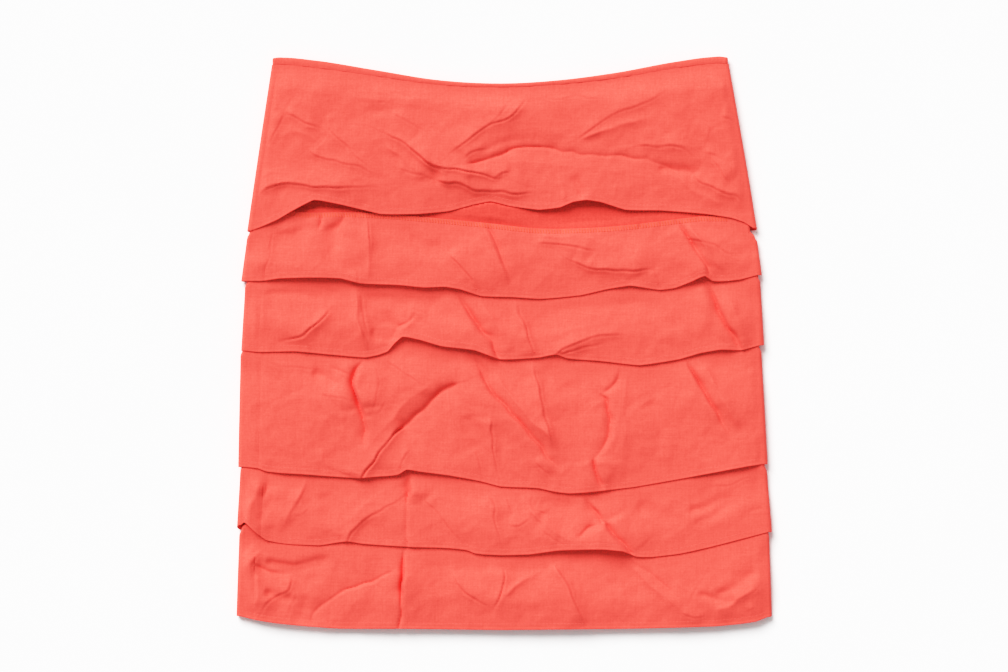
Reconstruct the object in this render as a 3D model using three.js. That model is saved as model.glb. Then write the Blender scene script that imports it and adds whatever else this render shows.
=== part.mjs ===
// A tiered a-line mini skirt in linen, laid flat on a table with its front up.
//
// Six strips of cloth, the tiers, are sewn one below the other to a plain base skirt, so that the hem
// of each hangs loose over the top of the next. A narrow binding closes the waist. Every panel has a
// front and a back: they meet at the fold on the right and at a side seam that has slipped a little
// way on to the front at the left.
//
// Millimetres, +Z up. The skirt lies on its back on z = 0 with its waist towards +Y, and its origin
// is the middle of its box, at the bottom. Panels lie on each other, a hair's breadth apart.
import * as THREE from "three";

// ---- Driving sizes -------------------------------------------------------------------------------

const WALL = 1.2; // a wall of cloth
const GAP = 0.3; // between pieces that touch
const LAYER = WALL + GAP; // the height that one layer takes

// What lies on what, counted in layers from the table up to the underside of each piece.
const STACK = {
  backLoose: 0,
  backTucked: 1,
  backBase: 2,
  frontBase: 3,
  frontTucked: 4,
  frontLoose: 5,
};
const PILE = 6 * LAYER - GAP; // the table to the top of a loose front hem
const FLAT_PILE = 2 * LAYER - GAP; // the bottom hem, where a front lies straight on its back

const COVER = 3; // how far a tier stays tucked below the hem that lies on it
const CLIMB = 11; // the length in which it then rises clear
const TUCK_INSET = 5.5; // how far its sewn edge stands in at each side
const EMERGE_INSET = 2.4; // and the place where it comes out
const BASE_INSET = 8; // and the base skirt
const BASE_TOP_INSET = 3.2; // less at its top, where the binding holds it
const BASE_DROP = 1.2; // it starts this far below the binding's seam
const BASE_ALLOWANCE = 8; // the base skirt ends this far below the last tier's seam
const BASE_SEAM_IN = 10; // its side seam, from the left fold
const BASE_ROWS = 6;

const LIFT_REACH = 34; // how far up from a hem its waves are felt
const SIDE_FADE = 18; // waves and folds die out this far from the side folds
const TOP_FADE = 9; // and this far below the place where a tier has risen clear

const FRONT_COLUMNS = 42;
const BACK_COLUMNS = 12;
const BASE_COLUMNS = 12;
const FOLD_STEPS = 2; // in each quarter turn of a side fold

const CORAL = new THREE.Color("#f86a5e");

// ---- Small tools ---------------------------------------------------------------------------------

const { lerp, smoothstep } = THREE.MathUtils;

// The value of a column of a table at x: the rows are in order of x, joined by smooth steps.
function read(table, x, column = "y") {
  const last = table.length - 1;
  if (x <= table[0].x) return table[0][column];
  if (x >= table[last].x) return table[last][column];
  const next = table.findIndex((row) => row.x >= x);
  const [a, b] = [table[next - 1], table[next]];
  const t = (x - a.x) / (b.x - a.x);
  return lerp(a[column], b[column], 0.5 * t + 0.5 * smoothstep(t, 0, 1));
}

// Rows of numbers with their columns named.
function table(columns, ...rows) {
  return rows.map((row) => Object.fromEntries(columns.map((name, i) => [name, row[i]])));
}

// ---- The waist -----------------------------------------------------------------------------------

// The top edge dips in the middle, and the binding's lower seam runs closer to it there.
const WAIST = table(
  ["x", "y", "binding"],
  [-192, 472, 5.0],
  [-186, 475, 6.0],
  [-156, 472.5, 6.0],
  [-106, 464.5, 5.0],
  [-56, 456.5, 4.0],
  [0, 453.5, 3.2],
  [44, 456, 3.6],
  [94, 462.5, 4.6],
  [143, 472, 5.4],
  [178, 476, 5.6],
  [186, 473, 5.0],
);
const waistEdge = (x) => read(WAIST, x);
const bindingSeam = (x) => read(WAIST, x) - read(WAIST, x, "binding");
const bindingTuck = (x) => bindingSeam(x) - GAP;

// ---- The tiers -----------------------------------------------------------------------------------
//
// left and right: where the side folds are just under the hem above, and at the tier's own hem.
// seamIn: how far the side seam lies in from the left fold, on the front.
// rows: rows of cloth between rising clear and the hem.
// seam: the line where the tier is sewn to the base skirt.
// hem: its loose edge on the front, and how far each stretch of it lifts off what it lies on.
// backHem: the middle of the same edge on the back, which lies flat on the table in small waves.
// folds: the largest ones of the front, each a soft ridge.

const SEAM_COLUMNS = ["x", "y"];
const HEM_COLUMNS = ["x", "y", "lift"];
const FOLD_COLUMNS = ["x1", "y1", "x2", "y2", "width", "height"];

const TIERS = [
  {
    left: [-192, -213],
    right: [186.5, 210.5],
    seamIn: 5,
    rows: 7,
    seam: null, // sewn into the binding
    hem: table(
      HEM_COLUMNS,
      [-213, 330, 0],
      [-202, 334, 1],
      [-187, 340.5, 3],
      [-176, 347, 5],
      [-157, 356.5, 6],
      [-136, 353, 5],
      [-119, 349, 3],
      [-102, 345, 1.5],
      [-70, 345, 1],
      [-45, 347.5, 2],
      [-24, 353, 3.5],
      [-11, 355.5, 3.5],
      [6, 351.5, 2],
      [30, 348.5, 1],
      [47, 350.5, 2.5],
      [58, 355, 5],
      [69, 356.5, 6],
      [80, 355, 5],
      [101, 348.5, 2],
      [130, 348, 1],
      [168, 345, 1],
      [190, 341.5, 1],
      [200, 338, 0.5],
      [210, 331.5, 0],
    ),
    backHem: 338,
    folds: table(
      FOLD_COLUMNS,
      [-24, 378, 62, 384, 15, 2.8],
      [50, 384, 172, 366, 15, 2.8],
      [-108, 424, -30, 386, 11, 2.2],
      [-74, 396, 14, 376, 9, 2.4],
      [-190, 359, -104, 361, 8, 2.0],
      [-14, 404, 20, 446, 9, 2.2],
      [112, 407, 158, 403, 8, 2.0],
      [60, 425, 138, 448, 12, 1.6],
      [-168, 428, -104, 384, 14, 1.6],
    ),
  },
  {
    left: [-212.5, -218],
    right: [210.5, 214.5],
    seamIn: 19,
    rows: 5,
    seam: table(SEAM_COLUMNS, [-210, 352.5], [-169, 346.5], [-131, 346.5], [-19, 338], [30, 333], [80, 334], [163, 343]),
    hem: table(
      HEM_COLUMNS,
      [-218, 289.5, 0],
      [-200, 289.5, 1],
      [-186, 291.5, 3],
      [-135, 291.5, 4],
      [-119, 287.5, 3],
      [-86, 286, 2.5],
      [-66, 284, 2],
      [-48, 284.5, 2],
      [-36, 282.5, 2.5],
      [-19, 277, 1.5],
      [8, 276, 1],
      [30, 274.5, 1],
      [64, 277.5, 1],
      [88, 283, 1.5],
      [105, 285.5, 2],
      [130, 282, 1],
      [142, 283.5, 1.5],
      [155, 288.5, 2.5],
      [167, 293.5, 4],
      [173, 289.5, 2],
      [196, 290.5, 1],
      [213, 295, 0],
    ),
    backHem: 280,
    folds: table(
      FOLD_COLUMNS,
      [-116, 344, -114, 292, 8, 2.4],
      [-24, 336, 4, 282, 9, 1.8],
      [26, 326, 92, 318, 8, 2.0],
      [60, 303, 132, 294, 8, 2.0],
      [150, 336, 180, 294, 9, 2.4],
      [-170, 335, -178, 296, 14, 1.6],
    ),
  },
  {
    left: [-214.5, -218],
    right: [213, 216.5],
    seamIn: 14,
    rows: 5,
    seam: table(SEAM_COLUMNS, [-214, 304], [-100, 302], [10, 291], [110, 297], [213, 308]),
    hem: table(
      HEM_COLUMNS,
      [-218, 232, 0],
      [-204, 230.5, 0.5],
      [-172, 231, 1.5],
      [-140, 228, 1.5],
      [-114, 226, 1],
      [-104, 228, 1],
      [-96, 231, 2],
      [-90, 238, 4],
      [-84, 243, 5],
      [-71, 241, 4.5],
      [-52, 235.5, 2.5],
      [-24, 232, 1.5],
      [-3, 224.5, 1],
      [30, 226, 1.5],
      [44, 228.5, 2.5],
      [52, 225.5, 1.5],
      [80, 223, 1],
      [113, 219.5, 1],
      [146, 224.5, 1.5],
      [163, 229.5, 2],
      [180, 232.5, 2],
      [197, 232, 1],
      [216, 237, 0],
    ),
    backHem: 222,
    folds: table(
      FOLD_COLUMNS,
      [-121, 284, -122, 250, 8, 2.2],
      [-190, 238, -142, 262, 10, 1.8],
      [-112, 252, -72, 262, 8, 2.0],
      [-34, 282, 4, 228, 10, 2.2],
      [34, 236, 108, 250, 10, 2.2],
      [174, 284, 200, 240, 9, 2.4],
    ),
  },
  {
    left: [-218.5, -220.5],
    right: [214, 219.5],
    seamIn: 17,
    rows: 7,
    seam: table(SEAM_COLUMNS, [-218, 247], [-100, 250], [10, 240], [110, 236], [216, 251]),
    hem: table(
      HEM_COLUMNS,
      [-220.5, 135.5, 0],
      [-204, 134, 0.5],
      [-197, 131.5, 1],
      [-165, 129, 1.5],
      [-119, 126, 1.5],
      [-107, 128.5, 2],
      [-84, 131, 2.5],
      [-71, 133, 2.5],
      [-44, 129, 2],
      [-20, 124, 1.5],
      [-3, 119, 1],
      [36, 116.5, 1],
      [55, 113.5, 1],
      [80, 116, 1.5],
      [113, 119.5, 1.5],
      [146, 125.5, 1.5],
      [180, 131.5, 1.5],
      [204, 136, 1],
      [219.5, 138, 0],
    ),
    backHem: 118,
    folds: table(
      FOLD_COLUMNS,
      [-118, 222, -106, 160, 10, 2.6],
      [-54, 212, -124, 146, 13, 3.6],
      [-62, 176, -30, 132, 9, 2.4],
      [-14, 222, 58, 136, 11, 2.6],
      [34, 222, 50, 146, 8, 2.0],
      [104, 220, 92, 172, 10, 2.4],
      [92, 172, 90, 122, 10, 2.4],
      [158, 222, 200, 158, 10, 2.4],
    ),
  },
  {
    left: [-218.5, -221.5],
    right: [218.5, 223],
    seamIn: 20,
    rows: 5,
    seam: table(SEAM_COLUMNS, [-219, 150], [-100, 146], [10, 133], [110, 135], [219, 152]),
    hem: table(
      HEM_COLUMNS,
      [-221.5, 83.5, 0],
      [-207, 81, 1],
      [-197, 74.5, 1],
      [-153, 70, 1],
      [-129, 73.5, 2],
      [-118, 71.5, 1],
      [-48, 67, 1],
      [-23, 64.5, 1],
      [-1, 62, 1],
      [35, 64.5, 2.5],
      [47, 67, 4],
      [89, 68, 5],
      [98, 67, 4],
      [112, 60, 1.5],
      [146, 62.5, 1],
      [180, 71, 1],
      [204, 77, 0.5],
      [223, 82, 0],
    ),
    backHem: 64,
    folds: table(
      FOLD_COLUMNS,
      [-74, 122, -136, 78, 11, 2.8],
      [-66, 110, -24, 72, 10, 1.8],
      [-12, 120, 4, 74, 8, 1.8],
      [18, 106, 58, 76, 10, 2.4],
      [66, 106, 80, 84, 10, 1.8],
      [-196, 126, -196, 92, 8, 2.2],
      [188, 120, 164, 98, 9, 1.8],
    ),
  },
  {
    left: [-219.5, -222],
    right: [220.5, 223],
    seamIn: 14,
    rows: 5,
    seam: table(SEAM_COLUMNS, [-219, 98], [-150, 86], [0, 78], [110, 80], [221, 98]),
    hem: table(
      HEM_COLUMNS,
      [-222, 12, 0],
      [-205, 8, 1],
      [-189, 5.5, 1.5],
      [-164, 3, 2],
      [-136, 1, 1.5],
      [-86, 1, 1],
      [0, 0, 1.5],
      [47, 0.5, 2],
      [105, 1, 1.5],
      [146, 2, 2],
      [176, 3, 1.5],
      [193, 4.5, 1],
      [210, 7, 1],
      [223, 12, 0],
    ),
    backHem: 3,
    folds: table(
      FOLD_COLUMNS,
      [-77, 62, -79, 4, 8, 2.6],
      [-178, 46, -206, 16, 10, 2.2],
      [-90, 52, -160, 10, 12, 2.2],
      [-40, 46, -16, 8, 10, 1.6],
      [50, 50, 74, 6, 12, 2.2],
      [106, 54, 152, 10, 13, 2.4],
      [206, 26, 178, 20, 9, 1.8],
    ),
  },
];

// A soft ridge with tapered ends, where it crosses (x, y).
function ridge(fold, x, y) {
  const along = new THREE.Vector2(fold.x2 - fold.x1, fold.y2 - fold.y1);
  const length = along.length();
  const from = new THREE.Vector2(x - fold.x1, y - fold.y1);
  const t = from.dot(along) / length ** 2;
  const off = Math.abs(from.cross(along)) / length;
  if (t <= 0 || t >= 1 || off >= fold.width) return 0;
  const ends = smoothstep(Math.min(t, 1 - t), 0, 0.3);
  return fold.height * ends * Math.cos((off / fold.width) * (Math.PI / 2)) ** 2;
}

// The edge of the back: level with the front's at both sides, lower between them, in small waves.
function backEdge(tier, index) {
  const { hem, backHem } = tier;
  const [first, last] = [hem[0], hem[hem.length - 1]];
  return (x) => {
    const t = (x - first.x) / (last.x - first.x);
    const sides = lerp(first.y, last.y, t);
    const sag = (backHem - (first.y + last.y) / 2) * (1 - Math.abs(2 * t - 1) ** 2.4);
    const wave = 1.6 * Math.sin(x / 21 + 2 * index) + 1.1 * Math.sin(x / 9 + index);
    return sides + sag + wave * smoothstep(Math.min(t, 1 - t), 0, 0.12);
  };
}

// ---- Rows of cloth -------------------------------------------------------------------------------
//
// A row is one line of cloth right round the skirt. left and right are its side folds, bottom and top
// the heights of its outer faces, front(x) and back(x) its place along Y, and relief(x, y) how far its
// front stands up above top.

// A point of a row at a station, on the outer face or, depth below it, on the inner one.
function pointOf(row, station, depth) {
  const radius = (row.top - row.bottom) / 2;
  const [leftFold, rightFold] = [row.left + radius, row.right - radius];
  if (station.run === "back") {
    const x = lerp(rightFold, leftFold, station.at);
    return new THREE.Vector3(x, row.back(x), row.bottom + depth);
  }
  if (station.run === "front") {
    const [from, to] = station.between(row.left, leftFold, rightFold);
    const x = lerp(from, to, station.at);
    const y = row.front(x);
    return new THREE.Vector3(x, y, row.top - depth + row.relief(x, y));
  }
  const [centre, side] = station.fold === "right" ? [rightFold, 1] : [leftFold, -1];
  const reach = radius - depth;
  const x = centre + side * reach * Math.cos(station.turn);
  return new THREE.Vector3(x, row.front(centre), row.bottom + radius + reach * Math.sin(station.turn));
}

// The stations of a front panel: from the side seam to where the right fold starts.
function frontStations(seamIn, columns) {
  const between = (left, leftFold, rightFold) => [left + seamIn + GAP / 2, rightFold - GAP];
  return Array.from({ length: columns + 1 }, (_, i) => ({ run: "front", at: i / columns, between }));
}

// And of a back panel: round the right fold, under the skirt, round the left fold to the side seam.
function backStations(seamIn, columns) {
  const turns = Array.from({ length: 2 * FOLD_STEPS - 1 }, (_, i) => (1 - (i + 1) / FOLD_STEPS) * (Math.PI / 2));
  return [
    { run: "front", at: 1, between: (left, leftFold, rightFold) => [leftFold, rightFold] },
    ...turns.map((turn) => ({ fold: "right", turn })),
    ...Array.from({ length: columns + 1 }, (_, i) => ({ run: "back", at: i / columns })),
    ...turns.map((turn) => ({ fold: "left", turn: -turn })),
    { run: "front", at: 0, between: (left, leftFold, rightFold) => [leftFold, rightFold] },
    { run: "front", at: 1, between: (left) => [left, left + seamIn - GAP / 2] },
  ];
}

// A closed wall through rows and stations: its outer face, its inner face and the strip round its edge.
function wall(name, rows, stations, thickness = WALL) {
  const positions = [];
  for (const depth of [0, thickness])
    for (const row of rows) for (const station of stations) positions.push(...pointOf(row, station, depth));
  const [down, across] = [rows.length, stations.length];
  const at = (face, i, j) => (face * down + i) * across + j;
  const index = [];
  const quad = (a, b, c, d) => index.push(a, b, c, a, c, d);
  for (let i = 0; i + 1 < down; i++)
    for (let j = 0; j + 1 < across; j++) {
      quad(at(0, i, j), at(0, i + 1, j), at(0, i + 1, j + 1), at(0, i, j + 1));
      quad(at(1, i, j), at(1, i, j + 1), at(1, i + 1, j + 1), at(1, i + 1, j));
    }
  for (let j = 0; j + 1 < across; j++) {
    quad(at(0, 0, j), at(0, 0, j + 1), at(1, 0, j + 1), at(1, 0, j));
    quad(at(0, down - 1, j + 1), at(0, down - 1, j), at(1, down - 1, j), at(1, down - 1, j + 1));
  }
  for (let i = 0; i + 1 < down; i++) {
    quad(at(0, i + 1, 0), at(0, i, 0), at(1, i, 0), at(1, i + 1, 0));
    quad(at(0, i, across - 1), at(0, i + 1, across - 1), at(1, i + 1, across - 1), at(1, i, across - 1));
  }
  const geometry = new THREE.BufferGeometry();
  geometry.setAttribute("position", new THREE.Float32BufferAttribute(positions, 3));
  geometry.setIndex(index);
  geometry.computeVertexNormals();
  const mesh = new THREE.Mesh(geometry, new THREE.MeshStandardMaterial({ color: CORAL, roughness: 0.9, metalness: 0 }));
  mesh.name = name;
  return mesh;
}

const flat = () => 0;

// ---- Each piece ----------------------------------------------------------------------------------

// The binding is one folded strip, as thick as the layers that it holds: its face is level with theirs.
function waistBinding() {
  const [left, right] = [TIERS[0].left[0], TIERS[0].right[0]];
  const shape = {
    left,
    right,
    bottom: STACK.backTucked * LAYER,
    top: STACK.frontTucked * LAYER + WALL,
    relief: flat,
  };
  const rows = [waistEdge, bindingSeam].map((edge) => ({ ...shape, front: edge, back: edge }));
  const thickness = LAYER + WALL;
  const { seamIn } = TIERS[0];
  return [
    wall("waist_binding_front", rows, frontStations(seamIn, FRONT_COLUMNS), thickness),
    wall("waist_binding_back", rows, backStations(seamIn, BACK_COLUMNS), thickness),
  ];
}

// The base skirt hangs from the binding to just below the last tier's seam.
function baseSkirt() {
  const last = TIERS[TIERS.length - 1];
  const end = (x) => read(last.seam, x) - BASE_ALLOWANCE;
  const rows = [];
  for (let i = 0; i <= BASE_ROWS; i++) {
    const edge = (x) => lerp(bindingSeam(x) - BASE_DROP, end(x), i / BASE_ROWS);
    const inset = i === 0 ? BASE_TOP_INSET : BASE_INSET;
    rows.push({
      left: outline("left", edge(last.left[0])) + inset,
      right: outline("right", edge(last.right[0])) - inset,
      bottom: STACK.backBase * LAYER,
      top: STACK.frontBase * LAYER + WALL,
      front: edge,
      back: edge,
      relief: flat,
    });
  }
  return [
    wall("base_skirt_front", rows, frontStations(BASE_SEAM_IN, BASE_COLUMNS)),
    wall("base_skirt_back", rows, backStations(BASE_SEAM_IN, BASE_COLUMNS)),
  ];
}

// The height along Y at which a tier comes out at the sides from under what covers it.
function sideTop(index) {
  return index === 0 ? WAIST[0].y : TIERS[index - 1].hem[0].y;
}

// Where the side folds would be at a height y with no steps at the hems.
function outline(side, y) {
  const next = TIERS.findIndex((_, index) => sideTop(index) <= y);
  if (next === 0) return TIERS[0][side][0];
  if (next < 0) return TIERS[TIERS.length - 1][side][0];
  const t = (sideTop(next - 1) - y) / (sideTop(next - 1) - sideTop(next));
  return lerp(TIERS[next - 1][side][0], TIERS[next][side][0], t);
}

function tier(index) {
  const { left, right, seamIn, rows: count, seam, hem, folds } = TIERS[index];
  const first = index === 0;
  const last = index === TIERS.length - 1;

  const hemEdge = { front: (x) => read(hem, x), back: backEdge(TIERS[index], index) };
  const cover = first
    ? { front: bindingTuck, back: bindingTuck }
    : { front: (x) => read(TIERS[index - 1].hem, x), back: backEdge(TIERS[index - 1], index - 1) };
  const top = first ? bindingTuck : (x) => read(seam, x);
  const tucked = (side) => (x) => Math.min(cover[side](x) - COVER, top(x) - COVER);
  const clear = (side) => (x) => tucked(side)(x) - CLIMB;

  // Waves of the hem and folds, dying out at the sides and where the tier is covered.
  const relief = (x, y) => {
    const inside = Math.min(x - left[1], right[1] - x) - PILE / 2;
    const fade = smoothstep(inside, 0, SIDE_FADE) * smoothstep(clear("front")(x) - y, 0, TOP_FADE);
    const lift = read(hem, x, "lift") * (1 - smoothstep(y - read(hem, x), 0, LIFT_REACH));
    return fade * (lift + folds.reduce((sum, fold) => Math.max(sum, ridge(fold, x, y)), 0));
  };

  // The side folds run straight from where the tier comes out to its hem.
  const down = (y) => (sideTop(index) - y) / (sideTop(index) - hem[0].y);
  const covered = (inset) => ({
    left: left[0] + (first ? 0 : inset),
    right: right[0] - (first ? 0 : inset),
    bottom: STACK.backTucked * LAYER,
    top: STACK.frontTucked * LAYER + WALL,
    relief: flat,
  });
  const rows = [
    { ...covered(TUCK_INSET), front: top, back: top },
    { ...covered(EMERGE_INSET), front: tucked("front"), back: tucked("back") },
  ];
  for (let i = 0; i <= count; i++) {
    const t = i / count;
    const edge = (side) => (x) => lerp(clear(side)(x), hemEdge[side](x), t);
    rows.push({
      left: lerp(left[0], left[1], down(edge("front")(left[0]))),
      right: lerp(right[0], right[1], down(edge("front")(left[0]))),
      bottom: STACK.backLoose * LAYER,
      top: last ? lerp(PILE, FLAT_PILE, smoothstep(t, 0, 1)) : PILE,
      front: edge("front"),
      back: edge("back"),
      relief: i === 0 ? flat : relief,
    });
  }
  const name = `tier_${index + 1}`;
  return [
    wall(`${name}_front`, rows, frontStations(seamIn, FRONT_COLUMNS)),
    wall(`${name}_back`, rows, backStations(seamIn, BACK_COLUMNS)),
  ];
}

// ---- The skirt -----------------------------------------------------------------------------------

const skirt = new THREE.Group();
skirt.add(...waistBinding(), ...baseSkirt());
TIERS.forEach((_, index) => skirt.add(...tier(index)));

// Its origin: the middle of its box, on the table.
const box = new THREE.Box3().setFromObject(skirt);
const middle = box.getCenter(new THREE.Vector3());
skirt.position.set(-middle.x, -middle.y, -box.min.z);

export default skirt;
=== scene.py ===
# %% [markdown]
# # A tiered linen skirt, laid flat
#
# This lesson dresses a plain model of a mini skirt as soft coral linen. The skirt is six strips of
# cloth, the tiers, sewn one below the other to a base skirt, so the hem of each hangs loose over the
# top of the next. It lies on a table with its front up, and the light comes from beyond its waist.
#
# The plain model, the frame, has the real size and stays as it is: every piece made here lies where
# the frame's piece of the same name lies and is shown instead of it. The frame's box is kept from
# the start, and the last step prints the finished skirt's box to set beside it.

# %% The frame
from functools import partial
from types import SimpleNamespace

import bpy
import numpy as np
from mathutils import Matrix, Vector


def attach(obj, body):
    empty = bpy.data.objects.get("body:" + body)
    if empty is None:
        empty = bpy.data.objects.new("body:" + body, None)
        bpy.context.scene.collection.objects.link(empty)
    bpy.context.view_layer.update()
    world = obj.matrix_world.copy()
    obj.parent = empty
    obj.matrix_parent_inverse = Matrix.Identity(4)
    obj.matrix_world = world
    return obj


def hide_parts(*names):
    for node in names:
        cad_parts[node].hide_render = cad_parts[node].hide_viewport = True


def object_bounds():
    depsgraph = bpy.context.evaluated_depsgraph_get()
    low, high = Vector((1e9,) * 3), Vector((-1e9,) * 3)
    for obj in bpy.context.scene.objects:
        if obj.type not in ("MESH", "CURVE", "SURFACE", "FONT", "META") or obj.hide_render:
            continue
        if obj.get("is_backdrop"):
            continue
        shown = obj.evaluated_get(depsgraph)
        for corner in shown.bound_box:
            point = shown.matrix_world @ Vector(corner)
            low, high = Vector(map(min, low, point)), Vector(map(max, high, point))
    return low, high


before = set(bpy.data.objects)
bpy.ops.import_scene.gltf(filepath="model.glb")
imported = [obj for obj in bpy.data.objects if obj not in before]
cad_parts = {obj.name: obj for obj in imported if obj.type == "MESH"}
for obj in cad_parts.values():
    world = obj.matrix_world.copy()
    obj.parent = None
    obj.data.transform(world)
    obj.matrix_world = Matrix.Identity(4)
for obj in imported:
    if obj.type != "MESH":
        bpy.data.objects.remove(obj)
cad_low, cad_high = (Vector(corner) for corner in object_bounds())
print("frame box, mm:", [round(1000 * (b - a), 1) for a, b in zip(cad_low, cad_high)])

# %% [markdown]
# ## Pattern coordinates
#
# A dressmaker measures from the pattern: x across from the middle of the skirt, y up from the bottom
# hem, both in millimetres. All the tables below are written that way. One function carries a point
# of the pattern into the frame, in metres, so nothing else has to know where the frame is.

# %% Pattern coordinates
MM = 0.001
WIDEST_LEFT = -222.0  # the pattern's x at the frame's left side


def place(x, y, z):
    """Points of the pattern, in millimetres, as points of the frame, in metres."""
    x, y, z = np.asarray(x) - WIDEST_LEFT, np.asarray(y), np.asarray(z)
    return np.stack([cad_low.x + x * MM, cad_low.y + y * MM, cad_low.z + z * MM], axis=-1)


def ease(value, start, end):
    """0 before start, 1 after end, and a smooth rise between them."""
    t = np.clip((value - start) / (end - start), 0, 1)
    return t * t * (3 - 2 * t)


def blend(a, b, t):
    return a + (b - a) * t


def add(name, data):
    """A new object, in the scene."""
    made = bpy.data.objects.new(name, data)
    bpy.context.scene.collection.objects.link(made)
    return made


print("the middle of the bottom hem is at", place(0, 0, 0).round(4))

# %% [markdown]
# ## The camera
#
# A garment on a table is looked at from straight above. From two and a half metres a long lens sees
# it with hardly any perspective, so the skirt keeps its true outline. The field of view is set from
# the width of table that the picture takes in.

# %% The camera
VIEW_CENTRE = (0.4, 243.6)
VIEW_WIDTH = 836.6
CAMERA_HEIGHT = 2600.0
CLOTH_HEIGHT = 8.0  # the height that is in scale

camera_data = bpy.data.cameras.new("camera")
camera_data.sensor_width = 36.0
camera_data.lens = camera_data.sensor_width * (CAMERA_HEIGHT - CLOTH_HEIGHT) / VIEW_WIDTH
camera_data.clip_end = 30.0
camera = add("camera", camera_data)
camera.location = place(*VIEW_CENTRE, CAMERA_HEIGHT)
bpy.context.scene.camera = camera
print("lens, mm:", round(camera_data.lens, 1))

# %% [markdown]
# ## Light and table
#
# The table is white, and so is the room, which fills every shadow a little. One large soft lamp
# stands far beyond the waist and a little to the left, so a sun lamp with a wide disc does for it.
# Its light runs down the skirt at a slant: the slopes that face the waist are bright, those that
# face the bottom hem are dark, and each hem throws a soft shadow on the tier below it.
#
# The plain "Standard" view keeps a strong coral from fading. It cuts the brightest values off hard,
# though, where film and good cameras bend them over softly. So one curve for all colours lifts the
# middle a little and eases the bright end up to white. Two more, for green and blue, take a little
# out of deep shade, because light between two layers of coral cloth turns redder each time.

# %% Light
LAMP_HEIGHT = 40.0  # degrees above the table
LAMP_BEARING = 30.0  # degrees left of the line from the hem to the waist
LAMP_DISC = 34.0  # degrees
LAMP_LIGHT = 0.98  # how brightly it lights a white table
LAMP_AWAY = 3.0  # metres, for show: a sun lamp is as bright anywhere
ROOM_LIGHT = 0.44
# Each pair is a value of the scene and how bright it is shown.
SHOULDER = [(0.12, 0.12), (0.25, 0.27), (0.45, 0.54), (0.75, 0.77), (1.0, 0.88), (1.45, 0.985)]
BRIGHTEST = 1.7  # shown as full white
GREEN = [(0.03, 0.021), (0.06, 0.049), (0.10, 0.093), (0.14, 0.142), (0.3, 0.3)]
BLUE = [(0.02, 0.0135), (0.045, 0.036), (0.08, 0.074), (0.107, 0.108), (0.3, 0.3)]

scene = bpy.context.scene
scene.view_settings.view_transform = "Standard"
scene.view_settings.look = "None"
scene.view_settings.use_curve_mapping = True
curves = scene.view_settings.curve_mapping
curves.white_level = (BRIGHTEST,) * 3
shoulder = [(value / BRIGHTEST, shown) for value, shown in SHOULDER]
green_curve, blue_curve, all_curve = curves.curves[1:4]
for curve, points in ((all_curve, shoulder), (green_curve, GREEN), (blue_curve, BLUE)):
    for value, shown in points:
        curve.points.new(value, shown)
curves.update()

world = bpy.data.worlds.new("room")
scene.world = world
world.use_nodes = True
background = world.node_tree.nodes["Background"]
background.inputs["Color"].default_value = (1.0, 1.0, 1.0, 1.0)
background.inputs["Strength"].default_value = ROOM_LIGHT

up, left = np.radians(LAMP_HEIGHT), np.radians(LAMP_BEARING)
lamp_data = bpy.data.lights.new("lamp", "SUN")
lamp_data.angle = np.radians(LAMP_DISC)
lamp_data.energy = LAMP_LIGHT * np.pi / np.sin(up)
lamp = add("lamp", lamp_data)
towards = Vector((-np.sin(left) * np.cos(up), np.cos(left) * np.cos(up), np.sin(up)))
lamp.location = towards * LAMP_AWAY
lamp.rotation_euler = towards.to_track_quat("Z", "Y").to_euler()
print("the lamp shines from", [round(v, 2) for v in towards])

# %% Table
TABLE = 4000.0
SHARP = np.radians(55)  # faces that meet at more than this angle keep a sharp edge


def mesh_object(name, points, faces):
    """An object with a smooth mesh, from lists of points and faces."""
    mesh = bpy.data.meshes.new(name)
    mesh.from_pydata([tuple(p) for p in points], [], [tuple(f) for f in faces])
    mesh.update()
    mesh.shade_smooth()
    mesh.set_sharp_from_angle(angle=SHARP)
    return add(name, mesh)


corners = [place(x * TABLE, y * TABLE, 0) for x, y in ((-1, -1), (1, -1), (1, 1), (-1, 1))]
table = mesh_object("table", corners, [(0, 1, 2, 3)])
table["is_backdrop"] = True
print("table, metres:", round(2 * TABLE * MM, 1), "square")

# %% [markdown]
# ## Shader maths as Python
#
# A shader is a net of nodes, and wiring it by hand is slow to read. A small class wraps a node's
# output, so that + - * on it add Math nodes. Colours are blended with Mix, because a Math node
# would turn them grey. Every other node comes from one method: its settings first, then its inputs.

# %% Shader maths
class Number:
    """A shader number that Python's operators work on."""

    def __init__(self, shader, socket):
        self.shader, self.socket = shader, socket

    def maths(self, operation, *values):
        made = self.shader.node("Math", {"operation": operation}, dict(enumerate(values)))
        return Number(self.shader, made.outputs[0])

    def __add__(self, other):
        return self.maths("ADD", self, other)

    def __sub__(self, other):
        return self.maths("SUBTRACT", self, other)

    def __rsub__(self, other):
        return self.maths("SUBTRACT", other, self)

    def __mul__(self, other):
        return self.maths("MULTIPLY", self, other)

    __radd__, __rmul__ = __add__, __mul__


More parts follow.
